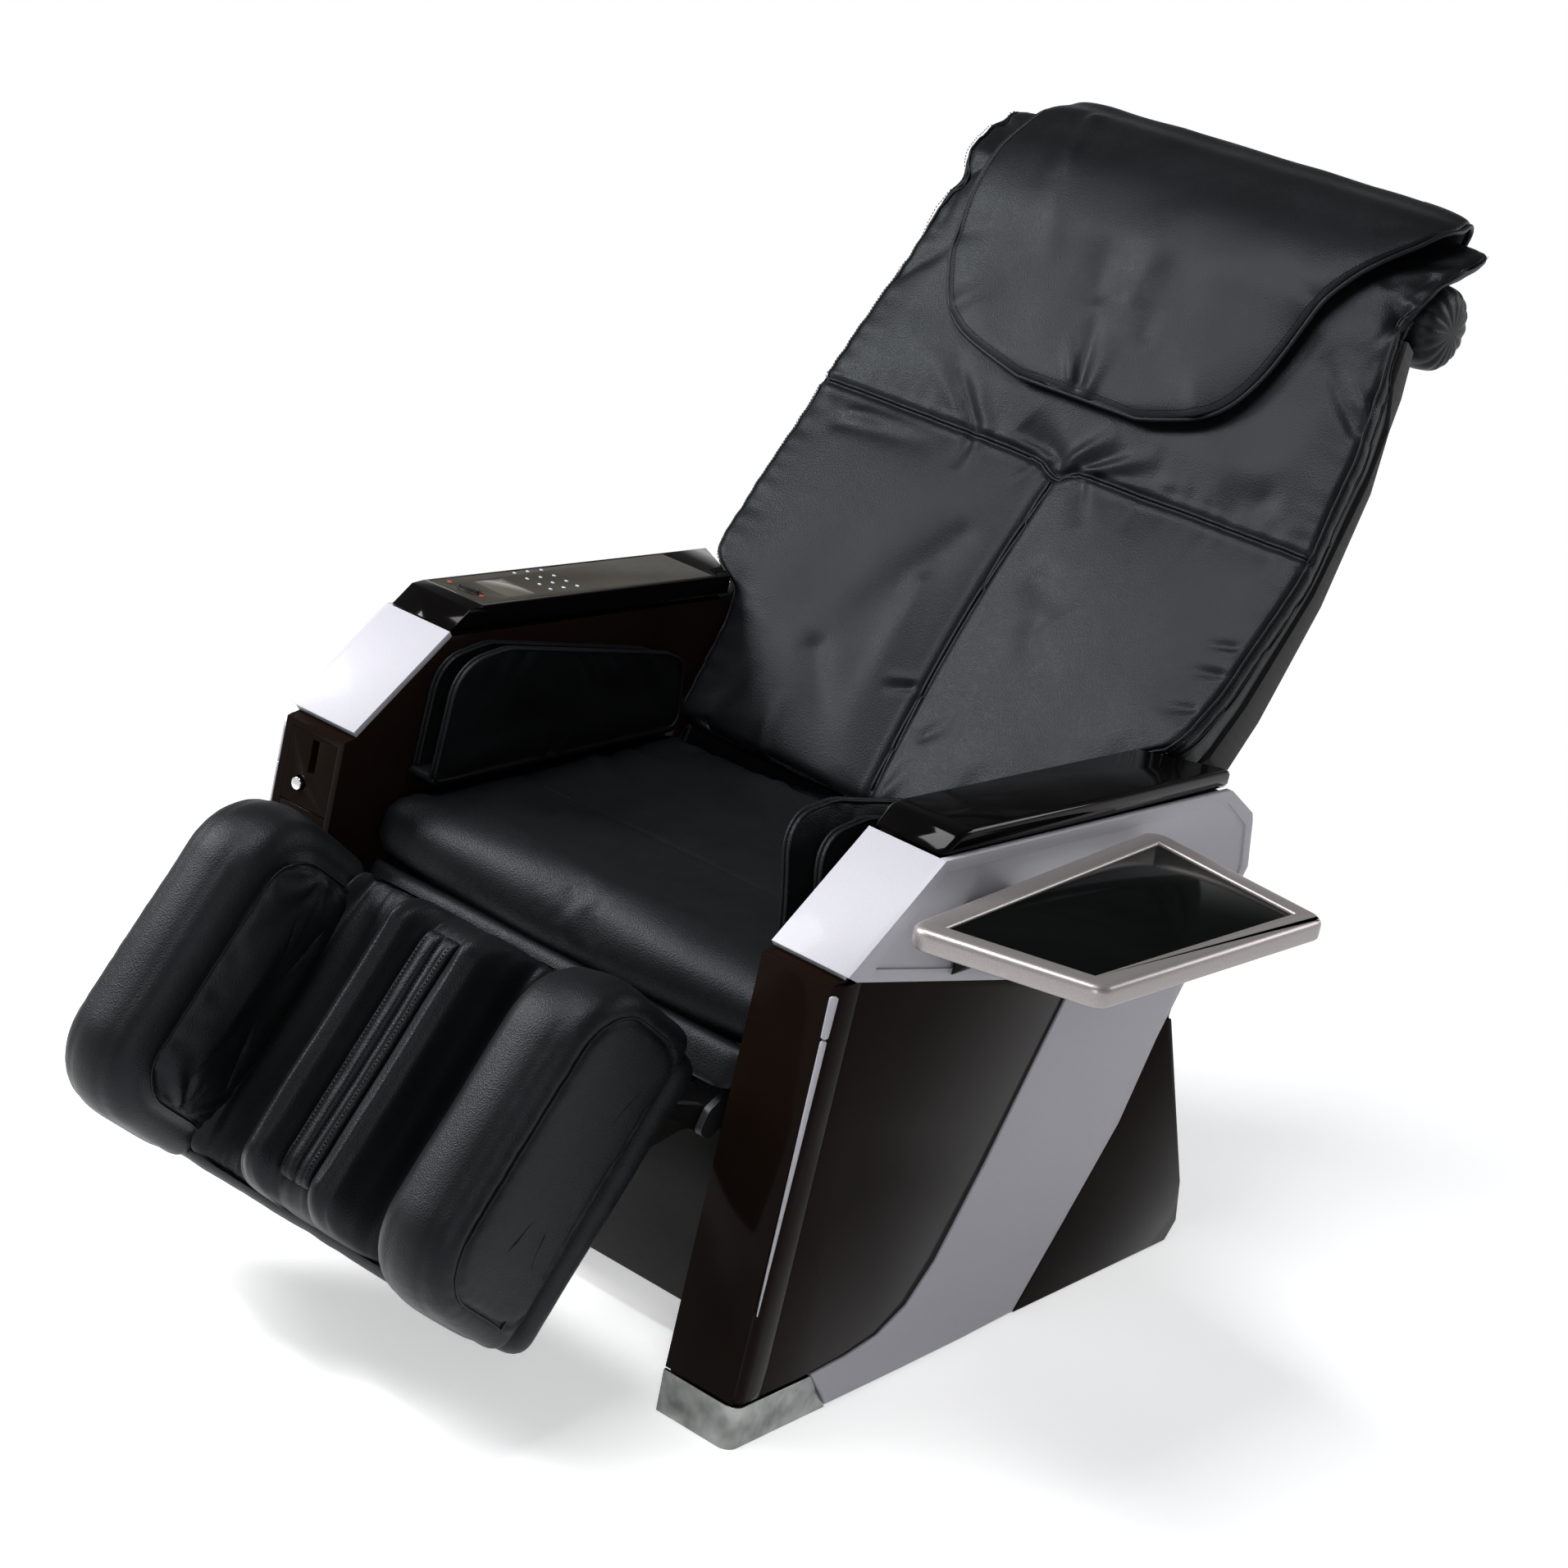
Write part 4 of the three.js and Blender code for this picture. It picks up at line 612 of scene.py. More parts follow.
def panel_button(x, y, half_x, half_y, rise):
    z = PANEL_FRONT_Z - (y - PANEL_FRONT_Y) * PANEL_SLOPE
    bpy.ops.mesh.primitive_cylinder_add(vertices=20, radius=1, depth=2, location=Vector((x, y, z)) * MM,
                                        rotation=(-PANEL_SLOPE, 0, 0))
    button = bpy.context.object
    button.scale = (half_x * MM, half_y * MM, rise * MM)
    bpy.ops.object.transform_apply(location=True, rotation=True, scale=True)
    return button


def button_group(name, buttons, finish):
    deselect()
    for button in buttons:
        button.select_set(True)
    bpy.context.view_layer.objects.active = buttons[0]
    if len(buttons) > 1:
        bpy.ops.object.join()
    group = bpy.context.object
    group.name = name
    bevelled(group, 0.35)
    paint(group, finish)
    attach(group, "root")


deselect()
keys = [panel_button(x, y, 2.6, 1.7, 0.9) for y in (-62, -40, -17) for x in (-370, -350, -331, -314)]
button_group("control_keys", keys, key_pale)
lamps = [panel_button(x, y, 3.2, 2.2, 0.8) for x, y in ((-366, -171), (-318, -170))]
button_group("control_lamps", lamps, lamp_red)
bpy.ops.mesh.primitive_torus_add(major_segments=48, minor_segments=10, major_radius=15.4 * MM, minor_radius=1.6 * MM,
                                 location=Vector((-338, -168, 631.0)) * MM, rotation=(-PANEL_SLOPE, 0, 0))
ring = bpy.context.object
ring.scale = (1, 0.62, 1)
bpy.ops.object.transform_apply(location=True, rotation=True, scale=True)
bpy.ops.object.shade_smooth()
ring.name = "switch_ring"
paint(ring, ring_grey)
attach(ring, "root")
print("keys:", len(keys), "lamps:", len(lamps))

# %% [markdown]
# ## What stays as the CAD made it
# Frames, actuators, rollers and the coin mechanism are machined parts with the right shape already. They only get their
# finish, chosen by words in their node's name.

# %% Finish the carried-over nodes
NODE_FINISH = {}
for node_name, part in frame["nodes"].items():
    words = node_name
    if "roller" in words and "arm" not in words and "carriage" not in words:
        finish = roller_rubber
    elif "rod" in words or "roller_arm" in words or words.startswith("coin_"):
        finish = zinc_steel
    elif "actuator" in words:
        finish = satin_black
    else:
        finish = dark_steel
    NODE_FINISH[node_name] = finish
    paint(part, finish)
print("carried over:", len(NODE_FINISH))

# %% [markdown]
# ## Padded leather
# A cushion is a sewn bag with foam in it: it swells between its seams and is drawn in at
# them. Each one starts as a closed skin through sections of its own, a little smaller than
# its space. The cloth solver then fills the large ones; seams, piping and creases come last.

# %% Helpers: places on the back, on the leg rest, and a skin through sections
BACK_TILT, LEG_TILT = radians(55), radians(54)


def on_back(x, s, n):
    return Vector((x, s * cos(BACK_TILT) - n * sin(BACK_TILT), s * sin(BACK_TILT) + n * cos(BACK_TILT))) * MM


def on_leg(x, v, w):
    return Vector((x, v * cos(LEG_TILT) - w * sin(LEG_TILT), v * sin(LEG_TILT) + w * cos(LEG_TILT))) * MM


def in_the_open(x, y, z):
    return Vector((x, y, z)) * MM


BACK_NORMAL = Vector((0, -sin(BACK_TILT), cos(BACK_TILT)))
LEG_NORMAL = Vector((0, -sin(LEG_TILT), cos(LEG_TILT)))


def mesh_piece(name, points, faces):
    """A leather piece from points in metres, with its faces turned outwards."""
    mesh = bpy.data.meshes.new(name)
    mesh.from_pydata(points, [], faces)
    face_outwards(mesh)
    piece = bpy.data.objects.new(name, mesh)
    bpy.context.scene.collection.objects.link(piece)
    pick(piece)
    bpy.ops.object.shade_smooth()
    paint(piece, black_leather)
    return piece


def skin(name, rings):
    """A closed mesh through rings of points in metres, each with the same number of points."""
    count = len(rings[0])
    points = [p for ring in rings for p in ring]
    faces = []
    for r in range(len(rings) - 1):
        for i in range(count):
            a, b = r * count + i, r * count + (i + 1) % count
            faces.append((a, b, b + count, a + count))
    first = len(points)
    points += [sum(ring, Vector()) / count for ring in (rings[0], rings[-1])]
    end = (len(rings) - 1) * count
    for i in range(count):
        j = (i + 1) % count
        faces += [(first, j, i), (first + 1, end + i, end + j)]
    return mesh_piece(name, points, faces)


def eased(pairs, value):
    i = 0
    while i < len(pairs) - 2 and value >= pairs[i + 1][0]:
        i += 1
    (a0, b0), (a1, b1) = pairs[i], pairs[i + 1]
    t = min(1, max(0, (value - a0) / (a1 - a0)))
    return b0 + (b1 - b0) * (t * t * (3 - 2 * t) * 0.5 + t * 0.5)


def rounded_end(distance, run):
    return sqrt(max(0, 1 - (1 - min(1, max(0, distance / run))) ** 2))


def near(distance, reach):
    return exp(-((distance / reach) ** 2))


def rounded_outline(points, steps=8, spacing=None):
    """Points [a, b] or [a, b, radius] in the plane; a radius rounds that corner."""
    out = []
    for i, point in enumerate(points):
        here = Vector(point[:2])
        radius = point[2] if len(point) > 2 else 0
        if not radius:
            out.append(here)
            continue
        a = (Vector(points[i - 1][:2]) - here).normalized()
        b = (Vector(points[(i + 1) % len(points)][:2]) - here).normalized()
        half = a.angle(b) / 2
        centre = here + (a + b).normalized() * (radius / sin(half))
        start = here + a * (radius / (sin(half) / cos(half))) - centre
        end = here + b * (radius / (sin(half) / cos(half))) - centre
        turn = start.angle_signed(end)
        for k in range(steps + 1):
            angle = -turn * k / steps
            out.append(centre + Vector((start.x * cos(angle) - start.y * sin(angle),
                                        start.x * sin(angle) + start.y * cos(angle))))
    if not spacing:
        return out
    return evenly(out, spacing, closed=True)


def evenly(points, spacing, closed=False):
    """The same line again, with points about `spacing` apart."""
    line = list(points) + ([points[0]] if closed else [])
    lengths = [0]
    for a, b in zip(line, line[1:]):
        lengths.append(lengths[-1] + (b - a).length)
    count = max(4, round(lengths[-1] / spacing))
    out = []
    k = 0
    for i in range(count + (0 if closed else 1)):
        want = lengths[-1] * i / count
        while k < len(line) - 2 and lengths[k + 1] < want:
            k += 1
        step = lengths[k + 1] - lengths[k]
        out.append(line[k].lerp(line[k + 1], (want - lengths[k]) / step if step else 0))
    return out


print("a point on the back:", on_back(0, 894, 133))

# %% [markdown]
# ## Filling and pressing
# Two operations give padding its look. The cloth solver blows the skin up a little between
# the lines where it is sewn down, and a cap keeps it inside its space. After that, creases
# and seams are pressed in: each point moves along its own normal by a depth worked out from
# where it lies.

# %% Helpers: fill with the cloth solver, then press in the seams
PRESSURE, STIFFNESS, FRAMES = 4.0, 12, 20


def filled(piece, sewn, cap):
    """sewn(point) says how firmly a point is held, from 0 to 1; none moves more than `cap` metres."""
    before = [v.co.copy() for v in piece.data.vertices]
    held = piece.vertex_groups.new(name="sewn")
    for v in piece.data.vertices:
        weight = sewn(v.co)
        if weight > 0.01:
            held.add([v.index], min(1, weight), "REPLACE")
    pick(piece)
    cloth = piece.modifiers.new("filling", "CLOTH")
    settings = cloth.settings
    settings.quality = 5
    settings.mass = 0.3
    settings.tension_stiffness = STIFFNESS
    settings.compression_stiffness = STIFFNESS
    settings.bending_stiffness = 0.6
    settings.use_pressure = True
    settings.uniform_pressure_force = PRESSURE
    settings.effector_weights.gravity = 0
    settings.vertex_group_mass = "sewn"
    scene = bpy.context.scene
    scene.frame_start, scene.frame_end = 1, FRAMES
    for k in range(1, FRAMES + 1):
        scene.frame_set(k)
    apply(piece, cloth)
    scene.frame_set(1)
    piece.vertex_groups.clear()
    for v, old in zip(piece.data.vertices, before):
        move = v.co - old
        if move.length > cap:
            v.co = old + move * (cap / move.length)
    return piece


def smoothed(piece, levels=1):
    soft = piece.modifiers.new("smoothing", "SUBSURF")
    soft.levels = soft.render_levels = levels
    apply(piece, soft)


def pressed(piece, depth):
    """Every point moves out along its normal by depth(point, normal), in metres."""
    mesh = piece.data
    moves = [v.normal * depth(v.co, v.normal) for v in mesh.vertices]
    for v, move in zip(mesh.vertices, moves):
        v.co += move
    mesh.update()


def padded(piece, node_name):
    stands_for(piece, node_name)


# %% [markdown]
# ## Piping and stitches
# A leather seam is a raised cord between two rows of stitches. The cord is laid on the
# finished skin by casting a ray on to it, so it follows every swell and crease. One stitch
# is modelled as a small capsule, and the same few faces repeat along the seam.

# %% Helpers: lay a line on a skin, and sew along it
def tree_of(piece):
    bm = bmesh.new()
    bm.from_mesh(piece.data)
    tree = BVHTree.FromBMesh(bm)
    bm.free()
    return tree


def laid(tree, points, towards, lift=0.0, reach=0.08):
    """Each point moved on to the skin along `towards`; also the skin's normals there."""
    out = []
    for p in points:
        hit, normal, _, _ = tree.ray_cast(p - towards * reach, towards, 2 * reach)
        if hit is None:
            hit, normal, _, _ = tree.find_nearest(p)
        if normal.dot(towards) > 0:
            normal = -normal
        out.append((hit + normal * lift, normal.copy()))
    return out


def cord_rings(line, radius, sides=8, closed=False):
    rings = []
    last = len(line) - 1
    for i, (p, normal) in enumerate(line):
        ahead = line[(i + 1) % len(line)][0] if closed else line[min(last, i + 1)][0]
        back = line[i - 1][0] if closed or i else p
        along_line = (ahead - back).normalized()
        out = (normal - along_line * normal.dot(along_line)).normalized()
        across = along_line.cross(out)
        taper = 1 if closed or 0 < i < last else 0.35
        rings.append([p + (out * cos(2 * pi * k / sides) + across * sin(2 * pi * k / sides)) * radius * taper
                      for k in range(sides)])
    return rings


class Sewing:
    """Collects the cords and stitches of one cushion in one mesh."""

    def __init__(self, name, body):
        self.name, self.body = name, body
        self.points, self.faces, self.length, self.stitches = [], [], 0.0, 0

    def tube(self, rings, closed=False):
        start, count = len(self.points), len(rings[0])
        self.points += [p for ring in rings for p in ring]
        last = len(rings) if closed else len(rings) - 1
        for r in range(last):
            for i in range(count):
                a = start + r * count + i
                b = start + r * count + (i + 1) % count
                c = start + ((r + 1) % len(rings)) * count + (i + 1) % count
                d = start + ((r + 1) % len(rings)) * count + i
                self.faces.append((a, b, c, d))
        if not closed:
            self.faces.append(tuple(start + i for i in reversed(range(count))))
            self.faces.append(tuple(start + (len(rings) - 1) * count + i for i in range(count)))

    def cord(self, line, radius, closed=False):
        self.tube(cord_rings(line, radius, 8, closed), closed)
        self.length += sum((b[0] - a[0]).length for a, b in zip(line, line[1:]))

    def row(self, line, aside, pitch=0.0042, size=0.00055):
        """Stitches along the line, `aside` metres to its right."""
        points = [p for p, _ in line]
        places = evenly(points, pitch)
        k = 0
        for p, q in zip(places, places[1:]):
            while k < len(points) - 2 and (points[k + 1] - points[0]).length < (p - points[0]).length:
                k += 1
            normal = line[k][1]
            along_line = (q - p).normalized()
            across = along_line.cross(normal).normalized()
            start = p + across * aside + normal * 0.0002
            rings = [[start + along_line * (t * pitch) + (normal * cos(a) + across * sin(a)) * size * r
                      for a in (0, pi / 3, 2 * pi / 3, pi, 4 * pi / 3, 5 * pi / 3)]
                     for t, r in ((0.10, 0.35), (0.26, 1), (0.62, 1), (0.78, 0.35))]
            self.tube(rings)
            self.stitches += 1

    def finish(self, finish=None):
        mesh = bpy.data.meshes.new(self.name)
        mesh.from_pydata(self.points, [], self.faces)
        face_outwards(mesh)
        piece = bpy.data.objects.new(self.name, mesh)
        bpy.context.scene.collection.objects.link(piece)
        pick(piece)
        bpy.ops.object.shade_smooth_by_angle(angle=radians(50))
        paint(piece, finish or black_leather)
        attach(piece, self.body)
        print(f"{self.name}: {self.length:.2f} m of cord, {self.stitches} stitches")
        return piece


# %% [markdown]
# ## The back cushion
# The back widens at the shoulders, narrows at the ribs, and flares into two wings at the
# head. A double seam crosses it below the shoulder blades, dips to a point in the middle, and
# another seam runs down from there. Its outline is read from lists of half widths and depths
# at heights along the back, the same measures that its CAD solid has.

# %% Measures of the back
HALF_WIDTH = [[462, 281], [570, 284], [606, 288.5], [621, 290.5], [629, 296], [636, 306], [643, 318], [651, 331],
              [666, 339], [684, 343],
              [745, 349], [890, 353], [1030, 342], [1120, 328], [1170, 319], [1204, 315], [1250, 325], [1300, 334],
              [1328, 335], [1337, 330], [1342, 320], [1345, 306]]
EDGE_FRONT = [[462, 138], [600, 150], [660, 165], [745, 151], [890, 137], [1030, 142], [1120, 152],
              [1190, 164], [1250, 158], [1290, 138], [1317, 116], [1345, 98]]
CENTRE_FRONT = [[462, 127], [640, 128], [890, 133], [1030, 138], [1120, 146], [1190, 158],
                [1250, 154], [1317, 124], [1345, 100]]
CUSHION_BACK = [[462, 95], [1110, 95], [1150, 139], [1235, 142], [1262, 138], [1290, 117],
                [1317, 98], [1345, 84]]
FOOT, HEAD = 462, 1345
GUSSET = 26


def cross_seam(x):
    """Height of the seam below the shoulder blades: it dips where the middle seam meets it."""
    return 914 - 13 * near(x - 4, 20)


def middle_seam(s):
    return 4 - 9 * sin(pi * min(1, max(0, (s - 470) / 430)))


def back_front(x, s):
    """How far the cushion's front stands off the back's own plane, before its seams."""
    half = eased(HALF_WIDTH, s)
    centre, edge = eased(CENTRE_FRONT, s), eased(EDGE_FRONT, s)
    t = min(1, abs(x) / half)
    above = s - cross_seam(x)
    if above < 0:
        swell = 9 * (1 - abs(2 * t - 1) ** 2.4) * (0.35 + 0.65 * rounded_end(-above, 120))
        swell *= 0.55 + 0.45 * rounded_end(s - FOOT, 160)
    else:
        swell = 7 * (1 - t ** 4) * (0.2 + 0.8 * rounded_end(above, 90))
    return centre + (edge - centre) * t ** 2.4 + swell


# %% Loft and fill the back cushion
rings = []
for s in spread(FOOT, HEAD, 140):
    half = eased(HALF_WIDTH, s) - 1.5
    rear = eased(CUSHION_BACK, s)
    drawn_in = 12 * (1 - rounded_end(min(s - FOOT, HEAD - s), 16))
    rear_in = rear + drawn_in * 0.3
    edge_in = back_front(half, s) - drawn_in - 2
    deep = edge_in - rear_in
    left = [(t * half, back_front(t * half, s) - drawn_in - 2) for t in spread(0, 0.985, 46)]
    left += [(half - 0.6, edge_in - 0.12 * deep), (half + 0.8, edge_in - 0.26 * deep)]
    left += [(half + 0.9, edge_in - 0.42 * deep), (half, edge_in - 0.58 * deep)]
    left += [(half - 0.8, edge_in - 0.74 * deep), (half - 2, rear_in + 0.1 * deep), (half - 5, rear_in)]
    left += [(half * t, rear_in) for t in (0.75, 0.5, 0.25)]
    right = [(-x, n) for x, n in left[1:]][::-1]
    rings.append([on_back(x, s, n) for x, n in left + [(0, rear_in)] + right])
back_cushion = skin("back_cushion_leather", rings)


def back_place(point):
    """A point in metres as (x, s, n) in millimetres."""
    return (point.x / MM, (point.y * cos(BACK_TILT) + point.z * sin(BACK_TILT)) / MM,
            (-point.y * sin(BACK_TILT) + point.z * cos(BACK_TILT)) / MM)


def sewn_on_back(point):
    x, s, n = back_place(point)
    if n < eased(CUSHION_BACK, s) + 12:
        return 1
    seam = near(s - cross_seam(x), 9)
    if s < cross_seam(x):
        seam = max(seam, near(x - middle_seam(s), 9))
    return max(seam, near(abs(x) - eased(HALF_WIDTH, s), 8))


filled(back_cushion, sewn_on_back, cap=0.008)
smoothed(back_cushion)
print("back cushion:", len(back_cushion.data.polygons), "faces")

# %% [markdown]
# Leather that is sewn under tension does not fold at random. The folds start at a seam or at a pinch and die out in the
# panel. So each one is listed: where it starts, where it ends, how wide it is and how far it stands up, or sinks if the
# number is negative.

# %% Place the folds of the back
BACK_FOLDS = [
    ((4, 913), (-62, 948), 20, -10), ((-14, 917), (-104, 929), 8, 4.5), ((-122, 921), (-196, 1000), 10, -5.5),
    ((-104, 925), (-160, 985), 10, 3), ((-142, 926), (-228, 990), 12, 3), ((12, 917), (62, 974), 10, 7),
    ((30, 917), (88, 958), 7, -4), ((40, 917), (124, 962), 10, 6), ((56, 917), (150, 938), 7, -3.5),
    ((74, 918), (176, 944), 9, 4), ((262, 955), (214, 936), 26, -5), ((322, 1068), (248, 1138), 11, -5),
    ((330, 1086), (262, 1146), 10, 3.5), ((306, 1204), (303, 1132), 9, -5), ((314, 1190), (292, 1128), 8, 3),
    ((338, 1318), (262, 1256), 13, -6), ((330, 1296), (252, 1240), 10, 4), ((309, 1268), (294, 1216), 9, -5),
    ((316, 1206), (246, 1258), 11, -5), ((318, 1222), (240, 1240), 9, 4), ((350, 1330), (280, 1290), 9, 4),
    ((-120, 906), (-112, 862), 8, -4), ((-106, 906), (-96, 862), 7, 3), ((-24, 908), (-40, 860), 9, 3),
    ((-18, 606), (-52, 590), 6, -3), ((-20, 616), (-56, 604), 6, 2), ((-60, 790), (-150, 600), 26, -4),
    ((-150, 600), (-60, 476), 22, -4), ((-74, 720), (-60, 500), 20, 3), ((-288, 866), (-150, 884), 14, -3),
    ((-280, 884), (-150, 898), 10, 2.5), ((60, 775), (112, 740), 26, -4), ((88, 720), (118, 662), 20, -3),
    ((326, 786), (292, 776), 6, -3), ((330, 751), (292, 742), 6, -3), ((324, 702), (286, 690), 7, -3),
    ((40, 906), (70, 850), 10, -3), ((58, 906), (96, 850), 10, 2.5), ((120, 908), (128, 862), 8, -2),
    ((30, 560), (60, 590), 12, -3), ((-322, 1068), (-258, 1130), 12, -4), ((-306, 1204), (-303, 1132), 9, -5),
    ((-338, 1318), (-262, 1256), 13, -6), ((-316, 1206), (-246, 1258), 11, -5), ((-350, 1330), (-280, 1290), 9, 4),
    ((-236, 470), (-206, 560), 14, -4), ((-150, 468), (-160, 540), 12, 4), ((110, 468), (132, 560), 14, -4),
    ((200, 468), (190, 540), 13, 4), ((262, 470), (240, 590), 16, -5), ((20, 468), (40, 530), 10, 3)]


def ridges(a, b, folds):
    total = 0
    for (a0, b0), (a1, b1), width, height in folds:
        da, db = a1 - a0, b1 - b0
        t = max(0, min(1, ((a - a0) * da + (b - b0) * db) / (da * da + db * db)))
        off = sqrt((a - a0 - t * da) ** 2 + (b - b0 - t * db) ** 2)
        if off < 3 * width:
            total += height * near(off, width * (0.75 + 0.5 * t)) * (1 - t * t)
    return total


# %% Press in the seams and the folds
def back_creases(point, normal):
    x, s, n = back_place(point)
    half = eased(HALF_WIDTH, s)
    facing = normal.dot(BACK_NORMAL)
    if facing < -0.3:
        return 0
    pinch = near(hypot(abs(x) - 308, s - 1203), 16)
    if facing < 0.35:
        edge = back_front(half, s)
        wrinkle = 1.3 * noise.noise(Vector((s * 0.085, n * 0.02, 2 + (x > 0)))) * near(n - edge + 14, 16)
        rear_seam = 1.8 * near(n - edge + GUSSET, 3.5)
        return (wrinkle - rear_seam - 5 * pinch) * MM
    across = s - cross_seam(x)
    seam = 4.2 * near(across, 4.5) - 1.4 * near(abs(across) - 9, 4)
    if across < 0:
        down = x - middle_seam(s)
        seam += (4.2 * near(down, 4.5) - 1.2 * near(abs(down) - 9, 4)) * min(1, -across / 12)
    seam += 2.6 * near(abs(x) - half + 6, 4) * rounded_end(HEAD - s, 30) + 6 * pinch
    folds = ridges(x, s, BACK_FOLDS)
    pulled = near(across, 40) * 1.5 * noise.noise(Vector((x * 0.05, s * 0.012, 5)))
    edge_pull = near(abs(x) - half, 34) * 1.6 * noise.noise(Vector((x * 0.012, s * 0.06, 8)))
    broad = 1.5 * noise.noise(Vector((x * 0.013, s * 0.009, 11)))
    return (folds + pulled + edge_pull + broad - seam) * MM


pressed(back_cushion, back_creases)
padded(back_cushion, "back_cushion")
print("folds on the back:", len(BACK_FOLDS))

# %% Sew the back
back_skin = tree_of(back_cushion)
sewing = Sewing("back_piping", "back")
STEP = 5


def aside(line, distance):
    """The same line, moved sideways on the leather."""
    out = []
    for i, (p, normal) in enumerate(line):
        run = (line[min(len(line) - 1, i + 1)][0] - line[max(0, i - 1)][0]).normalized()
        out.append((p + run.cross(normal).normalized() * distance, normal))
    return out


def double_seam(line, radius=0.0022, gap=0.0072, wide=True):
    if wide:
        sewing.cord(aside(line, 0.0023), radius)
        sewing.cord(aside(line, -0.0023), radius)
        sewing.row(line, -gap)
    else:
        sewing.cord(line, radius)
    sewing.row(line, gap)


double_seam(laid(back_skin, [on_back(x, cross_seam(x), 140) for x in range(-345, 346, STEP)],
                 -BACK_NORMAL, 0.0008))
double_seam(laid(back_skin, [on_back(middle_seam(s), s, 140) for s in range(480, 900, STEP)],
                 -BACK_NORMAL, 0.0008))
for side in (-1, 1):
    heights = range(478, 1336, STEP)
    diagonal = (Vector((-side, 0, 0)) - BACK_NORMAL).normalized()
    corner = [on_back(side * (eased(HALF_WIDTH, s) - 5), s, back_front(340, s) - 6) for s in heights]
    double_seam(laid(back_skin, corner, diagonal, 0.0006, 0.04), 0.0017, 0.0048 * side, wide=False)
    behind = [on_back(side * eased(HALF_WIDTH, s), s, back_front(eased(HALF_WIDTH, s), s) - GUSSET)
              for s in heights if s < 1215]
    double_seam(laid(back_skin, behind, Vector((-side, 0, 0)), 0.0004, 0.04), 0.0015, 0.0042)
sewing.finish()

# %% [markdown]
# ## The seat cushion
# The seat is a boxed cushion: its section runs from a soft front roll to the join with the
# back, and its ends round off beside the cabinets. It is flat only where it rests on the pan.
# One fine seam crosses its top.

# %% Model, fill and sew the seat
def cross_skin(name, section, stations, place, edge, crown):
    """A cushion whose section (a, b) runs along x; the ends round off by `edge` millimetres."""
    count = len(section)
    outward = []
    for i in range(count):
        run = (section[(i + 1) % count] - section[i - 1]).normalized()
        outward.append(Vector((run.y, -run.x)))
    x0, x1 = stations
    xs = [x0 + edge * (1 - cos(a)) for a in spread(0, pi / 2, 6)]
    xs += spread(x0 + edge, x1 - edge, max(5, round((x1 - x0 - 2 * edge) / 8)))[1:-1]
    xs += [x1 - edge * (1 - cos(a)) for a in spread(pi / 2, 0, 6)]
    rings = []
    for x in xs:
        t = (2 * (x - x0)) / (x1 - x0) - 1
        drawn = edge * (1 - rounded_end(min(x - x0, x1 - x), edge))
        proud = crown * (1 - t * t) - drawn
        rings.append([place(x, *(p + o * proud)) for p, o in zip(section, outward)])
    return skin(name, rings)


SEAT_SECTION = rounded_outline([[-294, 339.4, 24], [146, 339.4, 24], [150, 442, 26], [-60, 440], [-228, 438],
                                [-325, 438, 34], [-331, 385, 26], [-305, 364]], spacing=7)
SEAT_SEAM = -150
seat_cushion = cross_skin("seat_cushion_leather", SEAT_SECTION, (-281, 281), in_the_open, 22, 3)
filled(seat_cushion, lambda p: 1 if p.z < 0.352 else near(abs(p.x) - 0.278, 0.008), cap=0.008)
smoothed(seat_cushion)
SEAT_FOLDS = [((-262, 20), (-180, -40), 14, -4), ((-258, -10), (-170, -80), 12, 3), ((-255, 60), (-190, 40), 12, -4),
              ((-200, 120), (-190, 70), 10, -3), ((-80, 128), (-86, 70), 12, 3), ((40, 128), (30, 60), 14, -3),
              ((150, 126), (160, 60), 12, 3), ((258, 30), (180, -30), 13, -4), ((256, -60), (190, -90), 12, 3),
              ((-268, -120), (-210, -140), 12, -3), ((268, -150), (200, -170), 12, -3)]


def seat_creases(point, normal):
    if normal.z < 0.1 and normal.y > -0.3:
        return 0
    x, y = point.x / MM, point.y / MM
    seam = 1.6 * near(y - SEAT_SEAM, 2.6) * near(x - 10, 190) if normal.z > 0.4 else 0
    folds = ridges(x, y, SEAT_FOLDS) if normal.z > 0.4 else 0
    join = near(y - 130, 40) * 2.2 * noise.noise(Vector((x * 0.05, y * 0.01, 5)))
    end_pull = near(abs(x) - 276, 26) * 1.4 * noise.noise(Vector((x * 0.01, y * 0.06, point.z * 60)))
    broad = 1.2 * noise.noise(Vector((x * 0.010, y * 0.012, 21)))
    return (join + folds + end_pull + broad - seam) * MM


pressed(seat_cushion, seat_creases)
padded(seat_cushion, "seat_cushion")

seat_skin = tree_of(seat_cushion)
sewing = Sewing("seat_stitching", "root")
DOWN = Vector((0, 0, -1))
seam = laid(seat_skin, [in_the_open(x, SEAT_SEAM, 460) for x in range(-200, 221, 5)], DOWN, 0.0003)
sewing.row(seam, 0.0026)
sewing.finish()
